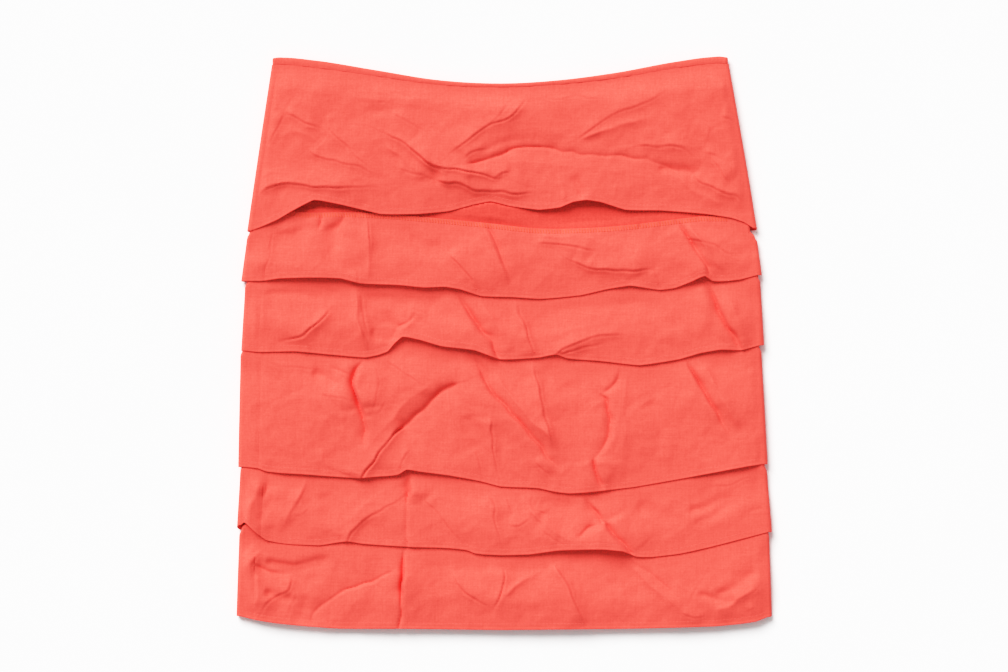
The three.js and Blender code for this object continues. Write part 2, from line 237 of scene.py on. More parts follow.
class Shader:
    """A material whose nodes are made by name."""

    def __init__(self, name):
        self.material = bpy.data.materials.new(name)
        self.material.use_nodes = True
        self.tree = self.material.node_tree
        self.surface = self.tree.nodes["Principled BSDF"]

    def node(self, kind, settings=(), inputs=()):
        made = self.tree.nodes.new("ShaderNode" + kind)
        for name, value in dict(settings).items():
            setattr(made, name, value)
        for name, value in dict(inputs).items():
            self.feed(made.inputs[name], value)
        return made

    def feed(self, socket, value):
        if isinstance(value, Number):
            value = value.socket
        if isinstance(value, bpy.types.NodeSocket):
            self.tree.links.new(value, socket)
        else:
            socket.default_value = value

    def number(self, node):
        return Number(self, node.outputs[0])

    def surface_is(self, **settings):
        """Sets inputs of the surface. A _ in a name stands for a space."""
        for name, value in settings.items():
            self.feed(self.surface.inputs[name.replace("_", " ")], value)

    def mix(self, dark, light, amount):
        """A colour between two colours."""
        mixed = self.node("Mix", {"data_type": "RGBA"})
        for index, value in ((0, amount), (6, dark), (7, light)):
            self.feed(mixed.inputs[index], value)
        return mixed.outputs[2]


print("shader maths ready")

# %% [markdown]
# ## The linen
#
# Linen is a plain weave of uneven flax threads: about twenty to the centimetre each way, with thicker
# stretches, the slubs, that show as faint streaks along and across. It is matt, with a little pale
# fuzz that catches light at a slant. Three things make it here. Two sets of fine bars, each wobbled by
# noise, are the threads. Two stretched noises are the slubs. Both go to the colour and to the bump.
# Small flecks and a slow cloud of noise keep large areas from being one flat colour.

# %% The linen
THREAD = 0.52  # from one thread to the next, in millimetres
WOBBLE = 1.1
SLUB_LENGTH = 14.0
SLUB_WIDTH = 0.85
FLECK = 1.5
CLOUD = 34.0
MIDDLE = 1.27  # brings the middle of all its patterns between the two colours
RELIEF = 0.16 * MM  # how far threads stand up
FUZZ = (1.0, 0.62, 0.58, 1.0)  # the colour of its pale fibres at a slant


def linen(name, deep, pale):
    """Coral linen. deep and pale are the colours that its threads and slubs range between."""
    shader = Shader(name)
    spot = shader.node("TexCoord").outputs["Object"]
    away = shader.node("Mapping", inputs={"Vector": spot, "Scale": (1 / MM,) * 3}).outputs[0]

    def noise(scale, detail=2.0):
        stretched = shader.node("Mapping", inputs={"Vector": away, "Scale": scale}).outputs[0]
        settings = {"Vector": stretched, "Scale": 1.0, "Detail": detail, "Roughness": 0.5}
        return shader.number(shader.node("TexNoise", inputs=settings))

    def threads(direction):
        waves = {"wave_type": "BANDS", "bands_direction": direction}
        # One bar is 2 pi / 20 units long in Blender's wave texture.
        size = {"Vector": away, "Scale": np.pi / 10 / THREAD, "Distortion": WOBBLE}
        size.update({"Detail": 1.0, "Detail Scale": 0.35})
        return shader.number(shader.node("TexWave", waves, size))

    along = noise((1 / SLUB_LENGTH, 1 / SLUB_WIDTH, 1 / SLUB_LENGTH))
    across = noise((1 / SLUB_WIDTH, 1 / SLUB_LENGTH, 1 / SLUB_LENGTH))
    fleck = noise((1 / FLECK,) * 3)
    cloud = noise((1 / CLOUD,) * 3, 3.0)
    weave = threads("X") * 0.5 + threads("Y") * 0.5
    slubs = along * 0.5 + across * 0.5
    tone = weave * 0.18 + slubs * 1.7 + fleck * 1.3 + cloud * 0.35 - MIDDLE
    shader.surface_is(Base_Color=shader.mix(deep, pale, tone), Roughness=0.98 - slubs * 0.16)
    raised = weave * 0.5 + slubs * 1.2
    bump = shader.node("Bump", inputs={"Strength": 0.45, "Distance": RELIEF, "Height": raised})
    shader.surface_is(Normal=bump.outputs[0], Specular_IOR_Level=0.18)
    shader.surface_is(Sheen_Weight=0.12, Sheen_Roughness=0.45, Sheen_Tint=FUZZ)
    return shader.material


cloth = linen("coral linen", (0.760, 0.090, 0.068, 1.0), (1.000, 0.118, 0.091, 1.0))
# The base skirt's linen is a deeper copy of the tiers' linen: painted shade for the band under the first
# hem, where it shows.
base_cloth = linen("coral linen, base skirt", (0.67, 0.062, 0.046, 1.0), (0.93, 0.091, 0.068, 1.0))
print(cloth.name, "has", len(cloth.node_tree.nodes), "nodes")

# %% [markdown]
# ## Thread and table top
#
# The skirt is sewn in a coral thread that hardly shows, and its overlocked edge in an orange one.
# Both have a slight sheen and a twist of two colours. The table is white paper with a faint grain,
# nearly matt, so no reflection disturbs the cloth's shadow. One function makes all three: a colour
# that varies between two by a noise, and a roughness.

# %% Thread and table top
def speckled(name, dark, light, size, detail, rough):
    """A material of two close colours in specks. size is how many there are to a metre."""
    shader = Shader(name)
    specks = shader.node("TexNoise", inputs={"Scale": size, "Detail": detail})
    shader.surface_is(Base_Color=shader.mix(dark, light, specks.outputs[0]), Roughness=rough)
    return shader


CORAL = ((0.86, 0.105, 0.080, 1.0), (0.97, 0.150, 0.115, 1.0))
ORANGE = ((0.85, 0.085, 0.035, 1.0), (0.98, 0.150, 0.055, 1.0))
WHITE = ((0.97, 0.97, 0.97, 1.0), (1.0, 1.0, 1.0, 1.0))

thread = speckled("coral thread", *CORAL, 900.0, 1.0, 0.7).material
orange = speckled("orange overlock thread", *ORANGE, 900.0, 1.0, 0.65).material
paper = speckled("white table", *WHITE, 60.0, 2.0, 0.9)
paper.surface_is(Specular_IOR_Level=0.1)
table.data.materials.append(paper.material)
print("materials:", [m.name for m in bpy.data.materials if m.use_nodes])

# %% [markdown]
# ## Reading a pattern
#
# Edges are tables of points. The waist and the seams run through theirs in one smooth curve. A hem
# is straighter from point to point and has soft corners, where a fold in the cloth reaches it.
#
# Crumpled cloth also needs unevenness that is no repeat of a few waves. One kind is a coarse net of
# random heights, joined smoothly and turned a little. The other is facets: flat patches that meet
# in straight valleys, as linen has once it was crushed. Each use has its own seed, so that every
# run of this script makes the same cloth.

# %% Edges and unevenness
HEM_CORNERS = 0.65  # 0 for a hem in one smooth curve, 1 for straight lines between its points
NET = 48  # cells each way before a net repeats
NET_CORNER = 500  # keeps the whole skirt on the net's positive side


def read(table, x, column=1):
    """A column of a table at x. Its rows are in order of x, and a smooth curve runs through them."""
    rows = np.array(table, dtype=float)
    at, values = rows[:, 0], rows[:, column]
    slopes = np.gradient(values, at)
    x = np.clip(np.asarray(x, dtype=float), at[0], at[-1])
    i = np.clip(np.searchsorted(at, x), 1, len(rows) - 1)
    width = at[i] - at[i - 1]
    t = (x - at[i - 1]) / width
    smooth = values[i - 1] + (values[i] - values[i - 1]) * t * t * (3 - 2 * t)
    return smooth + width * t * (1 - t) * (slopes[i - 1] * (1 - t) - slopes[i] * t)


def net_cells(x, y, size, random):
    """The cell of a turned net that each point is in, and where it is in that cell."""
    turn = random.uniform(0.3, 1.2)
    across = (x * np.cos(turn) + y * np.sin(turn)) / size + NET_CORNER
    along = (y * np.cos(turn) - x * np.sin(turn)) / size + NET_CORNER
    i, j = np.floor(across).astype(int), np.floor(along).astype(int)
    return i, j, across - i, along - j


def uneven(x, y, size, seed):
    """Random heights, about -1 to 1, that change over size millimetres."""
    random = np.random.default_rng(seed)
    net = random.uniform(-1, 1, (NET, NET))
    i, j, s, t = net_cells(x, y, size, random)
    s, t = ease(s, 0, 1), ease(t, 0, 1)
    corner = [net[(i + a) % NET, (j + b) % NET] for a, b in ((0, 0), (1, 0), (0, 1), (1, 1))]
    return blend(blend(corner[0], corner[1], s), blend(corner[2], corner[3], s), t)


def facets(x, y, size, seed):
    """Patches that meet in straight valleys, 0 in a valley and up to about 1 between them."""
    random = np.random.default_rng(seed)
    spots = random.uniform(0.05, 0.95, (NET, NET, 2))
    i, j, s, t = net_cells(x, y, size, random)
    nearest, second = np.full(s.shape, 9.0), np.full(s.shape, 9.0)
    for a in (-1, 0, 1):
        for b in (-1, 0, 1):
            spot = spots[(i + a) % NET, (j + b) % NET]
            away = (s - a - spot[..., 0]) ** 2 + (t - b - spot[..., 1]) ** 2
            second = np.minimum(second, np.maximum(nearest, away))
            nearest = np.minimum(nearest, away)
    return second - nearest


def hem_line(tier, x):
    """A loose hem, nearly straight from point to point."""
    at, height = np.array(tier["hem"], dtype=float)[:, :2].T
    return blend(read(tier["hem"], x), np.interp(x, at, height), HEM_CORNERS)


print("a hem at its middle:", read([(-10, 0), (10, 4)], 0))

# %% [markdown]
# ## Creases
#
# The creases are listed one by one. Each is a line of a few points, with a width and a depth, and the
# light decides which form does for it: a slope that goes down away from the lamp shows dark, and one
# that goes down towards it shows light.
#
# - A **crease** is a narrow furrow where the cloth steps down, steeply, on the side away from the
#   lamp: a sharp dark line with a soft light beside it.
# - A **rise** steps down towards the line and comes back slowly, as at the foot of a bulge: a dark
#   band with a lighter area after it.
# - A **valley** has its two slopes given, near the lamp and away from it. Its shoulders are raised
#   a little, because cloth that is pushed into a fold stands up on both sides of it.
# - A **ridge** is a round fold that stands up, and a **hollow** is a wide soft trough.
#
# Their ends taper off, because a crease in linen never starts at once, and most get wider along
# their length.

# %% Creases
AWAY = np.array([np.sin(left), -np.cos(left)])  # away from the lamp, on the table
REACH = 16.0  # how far the gentle side of a crease goes
DEEPEN = 3.4  # all depths together
LINE_STEPS = 5  # straight pieces from one point of a line to the next
TAPER = 6.0  # the near end's taper, in millimetres
FURROW = 1.0  # the width of the sharp line in a crease
FURROW_SHIFT = 0.6  # and how far it is from the middle, away from the lamp


def line(points, fade, height, near, far, furrow=0.0, swell=0.0, wide=False):
    """near and far are how far its slopes go towards the lamp and away from it. fade is how much of
    its length the far end takes to fade away."""
    return SimpleNamespace(**locals())


def crease(width, depth, *points, fade=0.45):
    return line(points, fade, 0.6 * depth, REACH, 1.1 * width, furrow=0.25 * depth)


def rise(width, depth, *points, fade=0.45):
    return line(points, fade, -0.6 * depth, 1.2 * width, REACH, furrow=0.2 * depth)


def valley(near, far, depth, *points, fade=0.45):
    return line(points, fade, -depth, near, far, swell=0.6 * depth)


def ridge(width, height, *points, fade=0.35):
    return line(points, fade, height, 0.5 * width, 0.5 * width)


def hollow(width, depth, *points, fade=0.35):
    return line(points, fade, -depth, 0.62 * width, 0.62 * width, wide=True)


def smooth_line(points):
    """The points of a smooth curve through a few points."""
    p = np.array(points, dtype=float)
    p = np.vstack([2 * p[0] - p[1], p, 2 * p[-1] - p[-2]])
    t = np.linspace(0, 1, LINE_STEPS, endpoint=False)[:, None]
    curve = []
    for a, b, c, d in zip(p, p[1:], p[2:], p[3:]):
        bend, twist = 2 * a - 5 * b + 4 * c - d, 3 * b - a - 3 * c + d
        curve.append(0.5 * (2 * b + (c - a) * t + bend * t**2 + twist * t**3))
    return np.vstack([*curve, p[-2][None]])


def beside(points, x, y):
    """The signed distance of points from a curve, how far along it they are, 0 to 1, and its length."""
    curve = smooth_line(points)
    steps = np.diff(curve, axis=0)
    lengths = np.hypot(*steps.T)
    starts = np.concatenate([[0], np.cumsum(lengths)])
    nearest = np.full(x.shape, np.inf)
    signed, along = np.zeros(x.shape), np.zeros(x.shape)
    for start, step, length, so_far in zip(curve, steps, lengths, starts):
        dx, dy = x - start[0], y - start[1]
        t = np.clip((dx * step[0] + dy * step[1]) / length**2, 0, 1)
        away = np.hypot(dx - t * step[0], dy - t * step[1])
        closer = away < nearest
        side = np.sign(step[0] * dy - step[1] * dx)
        nearest = np.where(closer, away, nearest)
        signed = np.where(closer, away * side, signed)
        along = np.where(closer, (so_far + t * length) / starts[-1], along)
    # Positive is the side away from the lamp.
    over = curve[-1] - curve[0]
    if -over[1] * AWAY[0] + over[0] * AWAY[1] < 0:
        signed = -signed
    return signed, along, starts[-1]


def dent(distance, width):
    """A soft bump: 1 at its middle, next to nothing from twice its width."""
    return np.exp(-((distance / width) ** 2))


def profile(fold, d, across, length):
    """The height across a line, at the distance d from it."""
    if fold.wide:
        return fold.height * np.exp(-((np.abs(d) / across) ** 1.8))
    # A rounded tip keeps the very middle from being a knife's edge.
    form = fold.height * np.exp(-(np.sqrt(d**2 + 0.2) - 0.45) / across)
    form -= fold.furrow * dent(d - FURROW_SHIFT, FURROW)
    return form + fold.swell * dent(d, min(REACH, 0.7 * length))


def relief(creases, x, y):
    """How far all the creases raise the cloth at each point."""
    total = np.zeros(x.shape)
    room = 3 * REACH
    for fold in creases:
        px, py = np.array(fold.points).T
        near = (x > px.min() - room) & (x < px.max() + room)
        near &= (y > py.min() - room) & (y < py.max() + room)
        if not near.any():
            continue
        d, along, length = beside(fold.points, x[near], y[near])
        strength = ease(along, -0.04, np.clip(TAPER / length, 0.1, 0.4))
        strength *= ease(1 - along, -0.04, fold.fade)
        across = np.where(d > 0, fold.far, fold.near) * (0.6 + 0.7 * along)
        total[near] += strength * profile(fold, d, np.minimum(across, 0.5 * length), length)
    return total


example = relief([crease(3, 1, (0, 0), (40, 0))], np.array([20.0]), np.array([-0.6]))
print("height in the middle of a 1 mm crease:", example.round(2))

# %% [markdown]
# ## The pattern of the skirt
#
# The waist edge dips in the middle, and the binding is narrower there. Each tier is a record: where
# its side folds are at its top and at its hem, how far its side seam has slipped on to the front at
# the left, how high its hem is in the middle of the back, the line where it is sewn to the base
# skirt, and its loose hem. The third number of a hem's point is how much the hem lifts there: below
# 1 it lies close to the next tier, and from 3 it gapes.

# %% The pattern
WAIST = [(-192, 474.2, 5.6), (-188, 475.0, 6.0), (-182, 475.0, 6.0), (-156, 472.5, 6.0), (-106, 464.5, 5.0)]
WAIST += [(-56, 456.5, 4.0), (0, 453.5, 3.2), (44, 456, 3.6), (94, 462.5, 4.6), (143, 471.5, 5.4)]
WAIST += [(172, 475.4, 5.6), (181, 475.8, 5.6), (186, 475.0, 5.4)]


def waist_edge(x):
    return read(WAIST, x)


def binding_seam(x):
    return read(WAIST, x) - read(WAIST, x, 2)


TIERS = [
    {
        "left": (-192, -213), "right": (186.5, 210.5), "seam_in": 5, "back_hem": 338,
        "seam": [(x, y - width - 0.05) for x, y, width in WAIST],
        "hem": [(-213, 330, 0), (-202, 334, 1), (-187, 340.5, 3), (-176, 347, 5), (-157, 356.5, 6)]
        + [(-136, 353, 5), (-119, 349, 3), (-102, 345, 2.2), (-70, 345, 1.8), (-45, 347.5, 0)]
        + [(-24, 353, -1), (-11, 355.5, -1), (6, 351.5, 0), (30, 348.5, 1.8), (47, 350.5, 3)]
        + [(58, 355, 5), (69, 356.5, 6), (80, 355, 5), (101, 348.5, 2), (130, 348, 1)]
        + [(168, 345, 1), (190, 341.5, 1), (200, 338, 0.5), (210, 331.5, 0)],
    },
    {
        "left": (-212.5, -218), "right": (210.5, 214.5), "seam_in": 19, "back_hem": 280,
        "seam": [(-210, 352.5), (-169, 346.5), (-131, 346.5), (-19, 338), (30, 333), (80, 334), (163, 343)],
        "hem": [(-218, 289.5, 0), (-200, 289.5, 1), (-186, 291.5, 3.5), (-135, 291.5, 5), (-119, 287.5, 4.5)]
        + [(-86, 286, 4.5), (-66, 284, 4.5), (-48, 284.5, 5), (-36, 282.5, 4), (-19, 277, 1.5)]
        + [(8, 276, 1), (30, 274.5, 0.5), (64, 277.5, 0), (88, 283, 1), (105, 285.5, 2)]
        + [(130, 282, 1), (142, 283.5, 1.5), (155, 288.5, 3.5), (167, 293.5, 6), (173, 289.5, 3)]
        + [(196, 290.5, 1), (213, 295, 0)],
    },
    {
        "left": (-214.5, -218), "right": (213, 216.5), "seam_in": 14, "back_hem": 222,
        "seam": [(-214, 304), (-100, 302), (10, 291), (110, 297), (213, 308)],
        "hem": [(-218, 232, 0), (-204, 230.5, 0.5), (-172, 231, 0.8), (-140, 228, 1.3), (-114, 226, 1)]
        + [(-104, 228, 1), (-96, 231, 2), (-90, 238, 5.5), (-84, 243, 7), (-71, 241, 6), (-52, 235.5, 4)]
        + [(-24, 232, 4.5), (-3, 224.5, 2.5), (30, 226, 1.5), (44, 228.5, 2.5), (52, 225.5, 1.5)]
        + [(80, 223, 1), (113, 219.5, 1), (146, 224.5, 1.5), (163, 229.5, 2), (180, 232.5, 2)]
        + [(197, 232, 1), (216, 237, 0)],
    },
    {
        "left": (-218.5, -220.5), "right": (214, 219.5), "seam_in": 17, "back_hem": 118,
        "seam": [(-218, 247), (-100, 250), (10, 240), (110, 236), (216, 251)],
        "hem": [(-220.5, 135.5, 0), (-204, 134, 0.5), (-197, 131.5, 1), (-165, 129, 2.2), (-119, 126, 1.5)]
        + [(-107, 127, 2), (-87, 129, 3.5), (-80.5, 133, 5), (-70, 131.5, 4), (-44, 128, 2.5)]
        + [(-20, 123.5, 1.5), (-3, 119, 1), (29, 117.5, 1.5), (43, 114.5, 2), (54, 113.2, 2)]
        + [(68, 114, 2.5), (108, 118.4, 0), (146, 125, 0.6), (180, 131.5, 3.5), (204, 136, 3.5)]
        + [(219.5, 138, 1)],
    },
    {
        "left": (-218.5, -221.5), "right": (218.5, 223), "seam_in": 20, "back_hem": 64,
        "seam": [(-219, 150), (-100, 146), (10, 133), (110, 135), (219, 152)],
        "hem": [(-221.5, 83.5, 0), (-219, 86, 2.5), (-215, 89.5, 5), (-206, 81.5, 4.5), (-197, 74.5, 1)]
        + [(-153, 70, -0.5), (-129, 73.5, 1.3), (-118, 71.5, 1), (-80, 69, 1.5), (-30, 66, 1)]
        + [(-24, 63.5, 1), (-1, 62, 1.5), (22, 62.7, 2.5), (45, 66, 4.5), (84, 67, 6.5)]
        + [(99, 65.5, 6), (110, 60.8, 2), (122, 60.3, 0.3), (146, 63, 0), (172, 68.7, 0)]
        + [(204, 77, 0), (223, 82, 0)],
    },
    {
        "left": (-219.5, -222), "right": (220.5, 223), "seam_in": 14, "back_hem": 3,
        "seam": [(-219, 98), (-150, 86), (0, 78), (110, 80), (221, 98)],
        "hem": [(-222, 12, 0), (-205, 8, 1), (-189, 5.5, 1.5), (-164, 3, 2), (-136, 1, 1.5), (-86, 1, 1)]
        + [(0, 0, 1.5), (47, 0.5, 2), (105, 1, 1.5), (146, 2, 2), (176, 3, 1.5), (193, 4.5, 1)]
        + [(210, 7, 1), (223, 12, 0)],
    },
]
LAST = len(TIERS) - 1
print("hems lift most at", [max(tier["hem"], key=lambda point: point[2])[0] for tier in TIERS])

# %% [markdown]
# ## The creases of each tier
#
# The lists go roughly from the left to the right. The first tier is twisted: its creases meet to the
# left of the middle, under a proud band that runs on to the right side.

# %% Creases of the first tier
TIERS[0]["creases"] = [
    # from the left side to the middle
    crease(2.4, 1.7, (-204, 358), (-195, 366), (-179, 370), (-133, 366), (-100, 368)),
    crease(3, 0.8, (-182, 428), (-190, 412), (-199, 398)),
    crease(3.5, 1.5, (-181, 428), (-170, 423), (-150, 417)),
    ridge(9, 0.3, (-186, 408), (-172, 414), (-156, 405), (-146, 396)),
    crease(3, 1.1, (-147, 427), (-142, 412), (-130, 400), (-118, 388), (-100, 379)),
    crease(2.2, 0.9, (-161, 398), (-154, 392), (-128, 386), (-96, 376)),
    crease(3, 0.7, (-202, 397), (-205, 380)),
    crease(3, 0.6, (-202, 373), (-190, 379)),
    crease(3, 1.9, (-100, 412), (-84, 405), (-68, 393), (-56, 385), (-40, 382), (-22, 379), (-2, 374),
           fade=0.15),
    crease(2.5, 1.2, (6, 379), (-4, 378), (-10, 374)),
    crease(3, 1.5, (-80, 402), (-66, 391), (-56, 384), (-38, 378)),
    ridge(5, 0.4, (-97, 402), (-80, 388), (-64, 377)),
    crease(3, 0.7, (-90, 384), (-74, 380), (-60, 373)),
    crease(3, 0.7, (-96, 450), (-78, 447), (-60, 443)),
    crease(3, 0.5, (-110, 447), (-90, 442)),
    hollow(9, 0.2, (-118, 430), (-80, 431), (-30, 431)),
    ridge(9, 0.2, (-126, 440), (-80, 440), (-14, 440)),
    hollow(8, 0.5, (66, 356), (64, 366), (57, 380)),
    ridge(6, 0.4, (52, 354), (50, 366), (44, 378)),
    crease(3, 0.6, (-95, 428), (-80, 421), (-58, 410)),
    crease(2.6, 1.7, (-56, 373), (-46, 372), (-34, 371), (-20, 364), (0, 363), (16, 362), (28, 363),
           fade=0.25),
    hollow(6, 0.4, (-60, 390), (-57, 378), (-55, 366)),
    crease(3.2, 1.6, (-43, 396), (-28, 407), (-12, 419), (4, 426), (16, 436), (22, 447), (34, 450)),
    crease(2.5, 0.7, (-12, 419), (-2, 431), (10, 444)),
    crease(2.5, 0.7, (26, 447), (44, 441), (62, 443), (92, 439)),
    # the proud band across the middle and the right, and the deep fold above it
    rise(4, 1.5, (-32, 387), (-20, 389), (-5, 393), (8, 400), (22, 401), (40, 399), (60, 396)),
    rise(3, 0.8, (36, 400), (60, 396), (90, 394), (110, 391), (130, 388), (146, 381), (170, 378)),
    ridge(13, 0.2, (-34, 377), (-10, 382), (20, 388), (62, 384), (110, 378), (150, 370)),
    hollow(7, 0.3, (-22, 396), (-10, 401), (4, 406), (24, 408), (44, 404)),
    crease(2.5, 1.2, (-34, 391), (-28, 396), (-20, 399), (-12, 400)),
    crease(2.5, 0.9, (62, 408), (86, 424), (108, 434), (130, 444), (148, 453)),
    ridge(8, 0.6, (66, 408), (86, 415), (105, 420), (122, 424)),
    crease(2.5, 0.5, (102, 450), (122, 458)),
    crease(2.5, 0.5, (114, 441), (119, 452)),
    # the right side
    crease(2.6, 1.3, (112, 400), (130, 402), (147, 401), (160, 393)),
    hollow(9, 0.6, (128, 383), (146, 382), (158, 380), (174, 376)),
    crease(2.5, 0.8, (166, 396), (184, 391)),
    crease(3, 1.4, (173, 391), (182, 378), (189, 370)),
    crease(3, 1.5, (158, 379), (168, 369), (184, 363), (195, 360), (207, 344)),
    ridge(9, 0.4, (146, 374), (166, 360), (190, 350)),
    crease(2.5, 0.6, (166, 407), (175, 417), (183, 420)),
    crease(2.5, 0.6, (179, 453), (186, 442)),
    crease(3, 1.1, (179, 427), (188, 424), (195, 418)),
    crease(2, 0.35, (94, 372), (94, 356)),
    crease(2, 0.35, (104, 371), (105, 357)),
]
print(len(TIERS[0]["creases"]), "creases")

# %% [markdown]
# The second tier was pressed in a narrow pleat at the left, is puckered where it is gathered at both
# ends of its seam, and has one long crease across each corner.

# %% Creases of the second tier
TIERS[1]["creases"] = [
    crease(4, 0.7, (-190, 330), (-172, 340)),
    crease(4, 0.8, (-191, 332), (-194, 315), (-199, 292)),
    hollow(11, 0.5, (-133, 344), (-142, 325), (-143, 298)),
    valley(3, 1.5, 0.9, (-131, 347), (-134, 338), (-138, 329)),
    valley(2.5, 1.2, 0.9, (-153, 347), (-152, 339), (-153, 331)),
    valley(2, 1, 0.5, (-122, 346), (-121, 336)),
    crease(4, 1.3, (-183, 342), (-178, 335), (-176, 328)),
    valley(1, 2.5, 0.5, (112, 340), (112, 331)),
    valley(1, 2.5, 0.6, (128, 343), (130, 331)),
    valley(1, 2, 0.6, (141, 344), (144, 333)),
    valley(1, 2.5, 0.6, (171, 347), (172, 334)),
    valley(1, 2, 0.5, (184, 345), (186, 334)),
    crease(6, 2.2, (-112, 352), (-112, 338), (-112, 324), (-113, 306)),
    ridge(5, 0.6, (-112, 350), (-112, 320), (-113, 286)),
    crease(3, 0.6, (-123, 300), (-121, 286)),
    ridge(7, 0.5, (-20, 340), (-14, 326), (-4, 306), (6, 276)),
    valley(1.2, 3, 0.7, (-14, 334), (-7, 322), (0, 304), (7, 288)),
    crease(3, 1.3, (-47, 312), (-36, 302), (-22, 284), (-18, 274)),
    crease(2.5, 1.0, (27, 320.5), (49, 320), (60, 318), (71, 314), (88, 313.5)),
    ridge(7, 0.3, (30, 327), (60, 326), (92, 318)),
    crease(3, 1.6, (57, 307), (69, 301.5), (88, 298), (115, 298.8), (126, 298.8), fade=0.25),
    crease(2.5, 0.8, (72, 309), (75, 305), (73, 301)),
    crease(3, 0.7, (123, 300), (130, 286)),
    valley(3.5, 1.4, 1.1, (144, 338), (152, 327), (160, 314), (167, 304), (171, 293), fade=0.2),
    ridge(8, 0.8, (152, 338), (168, 318), (184, 292)),
    crease(3, 0.9, (150, 326), (170, 322), (184, 314), (198, 310)),
    crease(3, 0.6, (178, 343), (175, 332)),
    crease(2.5, 0.6, (208, 318), (213, 300)),
    hollow(12, 0.4, (-80, 325), (-60, 318), (-40, 322)),
]
print(len(TIERS[1]["creases"]), "creases")

# %% [markdown]
# The third tier carries on the lines of the second, because both were folded together. A fold at
# the left lifts its hem, and a tuck to the right of the middle runs into it.

# %% Creases of the third tier
TIERS[2]["creases"] = [
    hollow(9, 0.4, (-200, 279), (-165, 279), (-125, 278)),
    hollow(11, 0.6, (-116, 277), (-92, 275), (-62, 273), (-48, 270)),
    ridge(6, 0.9, (-123, 290), (-122, 272), (-121, 254), (-114, 231)),
    crease(3.5, 1.3, (-119, 290), (-119, 276), (-117, 258), (-110, 238)),
    crease(7, 2.2, (-144, 265), (-150, 258), (-165, 246), (-190, 238)),
    hollow(9, 0.9, (-112, 245), (-96, 247), (-80, 252)),
    rise(5, 1.6, (-72, 264), (-78, 257), (-88, 251), (-98, 249), (-112, 246)),
    crease(3, 0.8, (-62, 262), (-72, 266), (-81, 265)),
    ridge(6, 0.5, (-72, 264), (-80, 252), (-90, 243)),
    crease(3, 0.6, (-120, 250), (-114, 240), (-111, 228)),
    crease(3, 0.6, (-103, 253), (-99, 234)),
    valley(4, 1.4, 1.6, (-43, 284), (-33, 270), (-21, 253), (-10, 239), (-2, 222), fade=0.15),
    hollow(10, 0.7, (-44, 280), (-24, 277)),
    ridge(9, 0.8, (-24, 280), (-10, 258), (6, 236)),
    ridge(5, 0.3, (7, 278), (13, 258), (19, 238)),
    crease(2.5, 1.5, (9, 276), (15, 258), (22, 238), (26, 226), fade=0.15),
    crease(2.5, 1.4, (42, 228), (50, 234), (62, 239), (76, 243), (97, 244.5), (108, 244)),
    crease(4, 1.2, (46, 228), (58, 232), (70, 235), (84, 238)),
    ridge(10, 0.2, (36, 242), (70, 252), (108, 256)),
    valley(3.5, 1.2, 1.5, (168, 290), (175, 275), (182, 260), (189, 246), (197, 230), fade=0.15),
    ridge(9, 0.4, (180, 290), (192, 264), (204, 240)),
    crease(3, 0.9, (134, 277), (143, 264), (152, 250), (160, 240)),
    crease(3, 0.6, (158, 291), (161, 277)),
    hollow(12, 0.4, (40, 268), (80, 270), (120, 274)),
]
print(len(TIERS[2]["creases"]), "creases")

# %% [markdown]
# The fourth tier is deep enough for creases of every direction: a hooked valley at the left, a long
# diagonal that ends in its hem, a second one the other way through the middle, and a broken fold
# at the right.

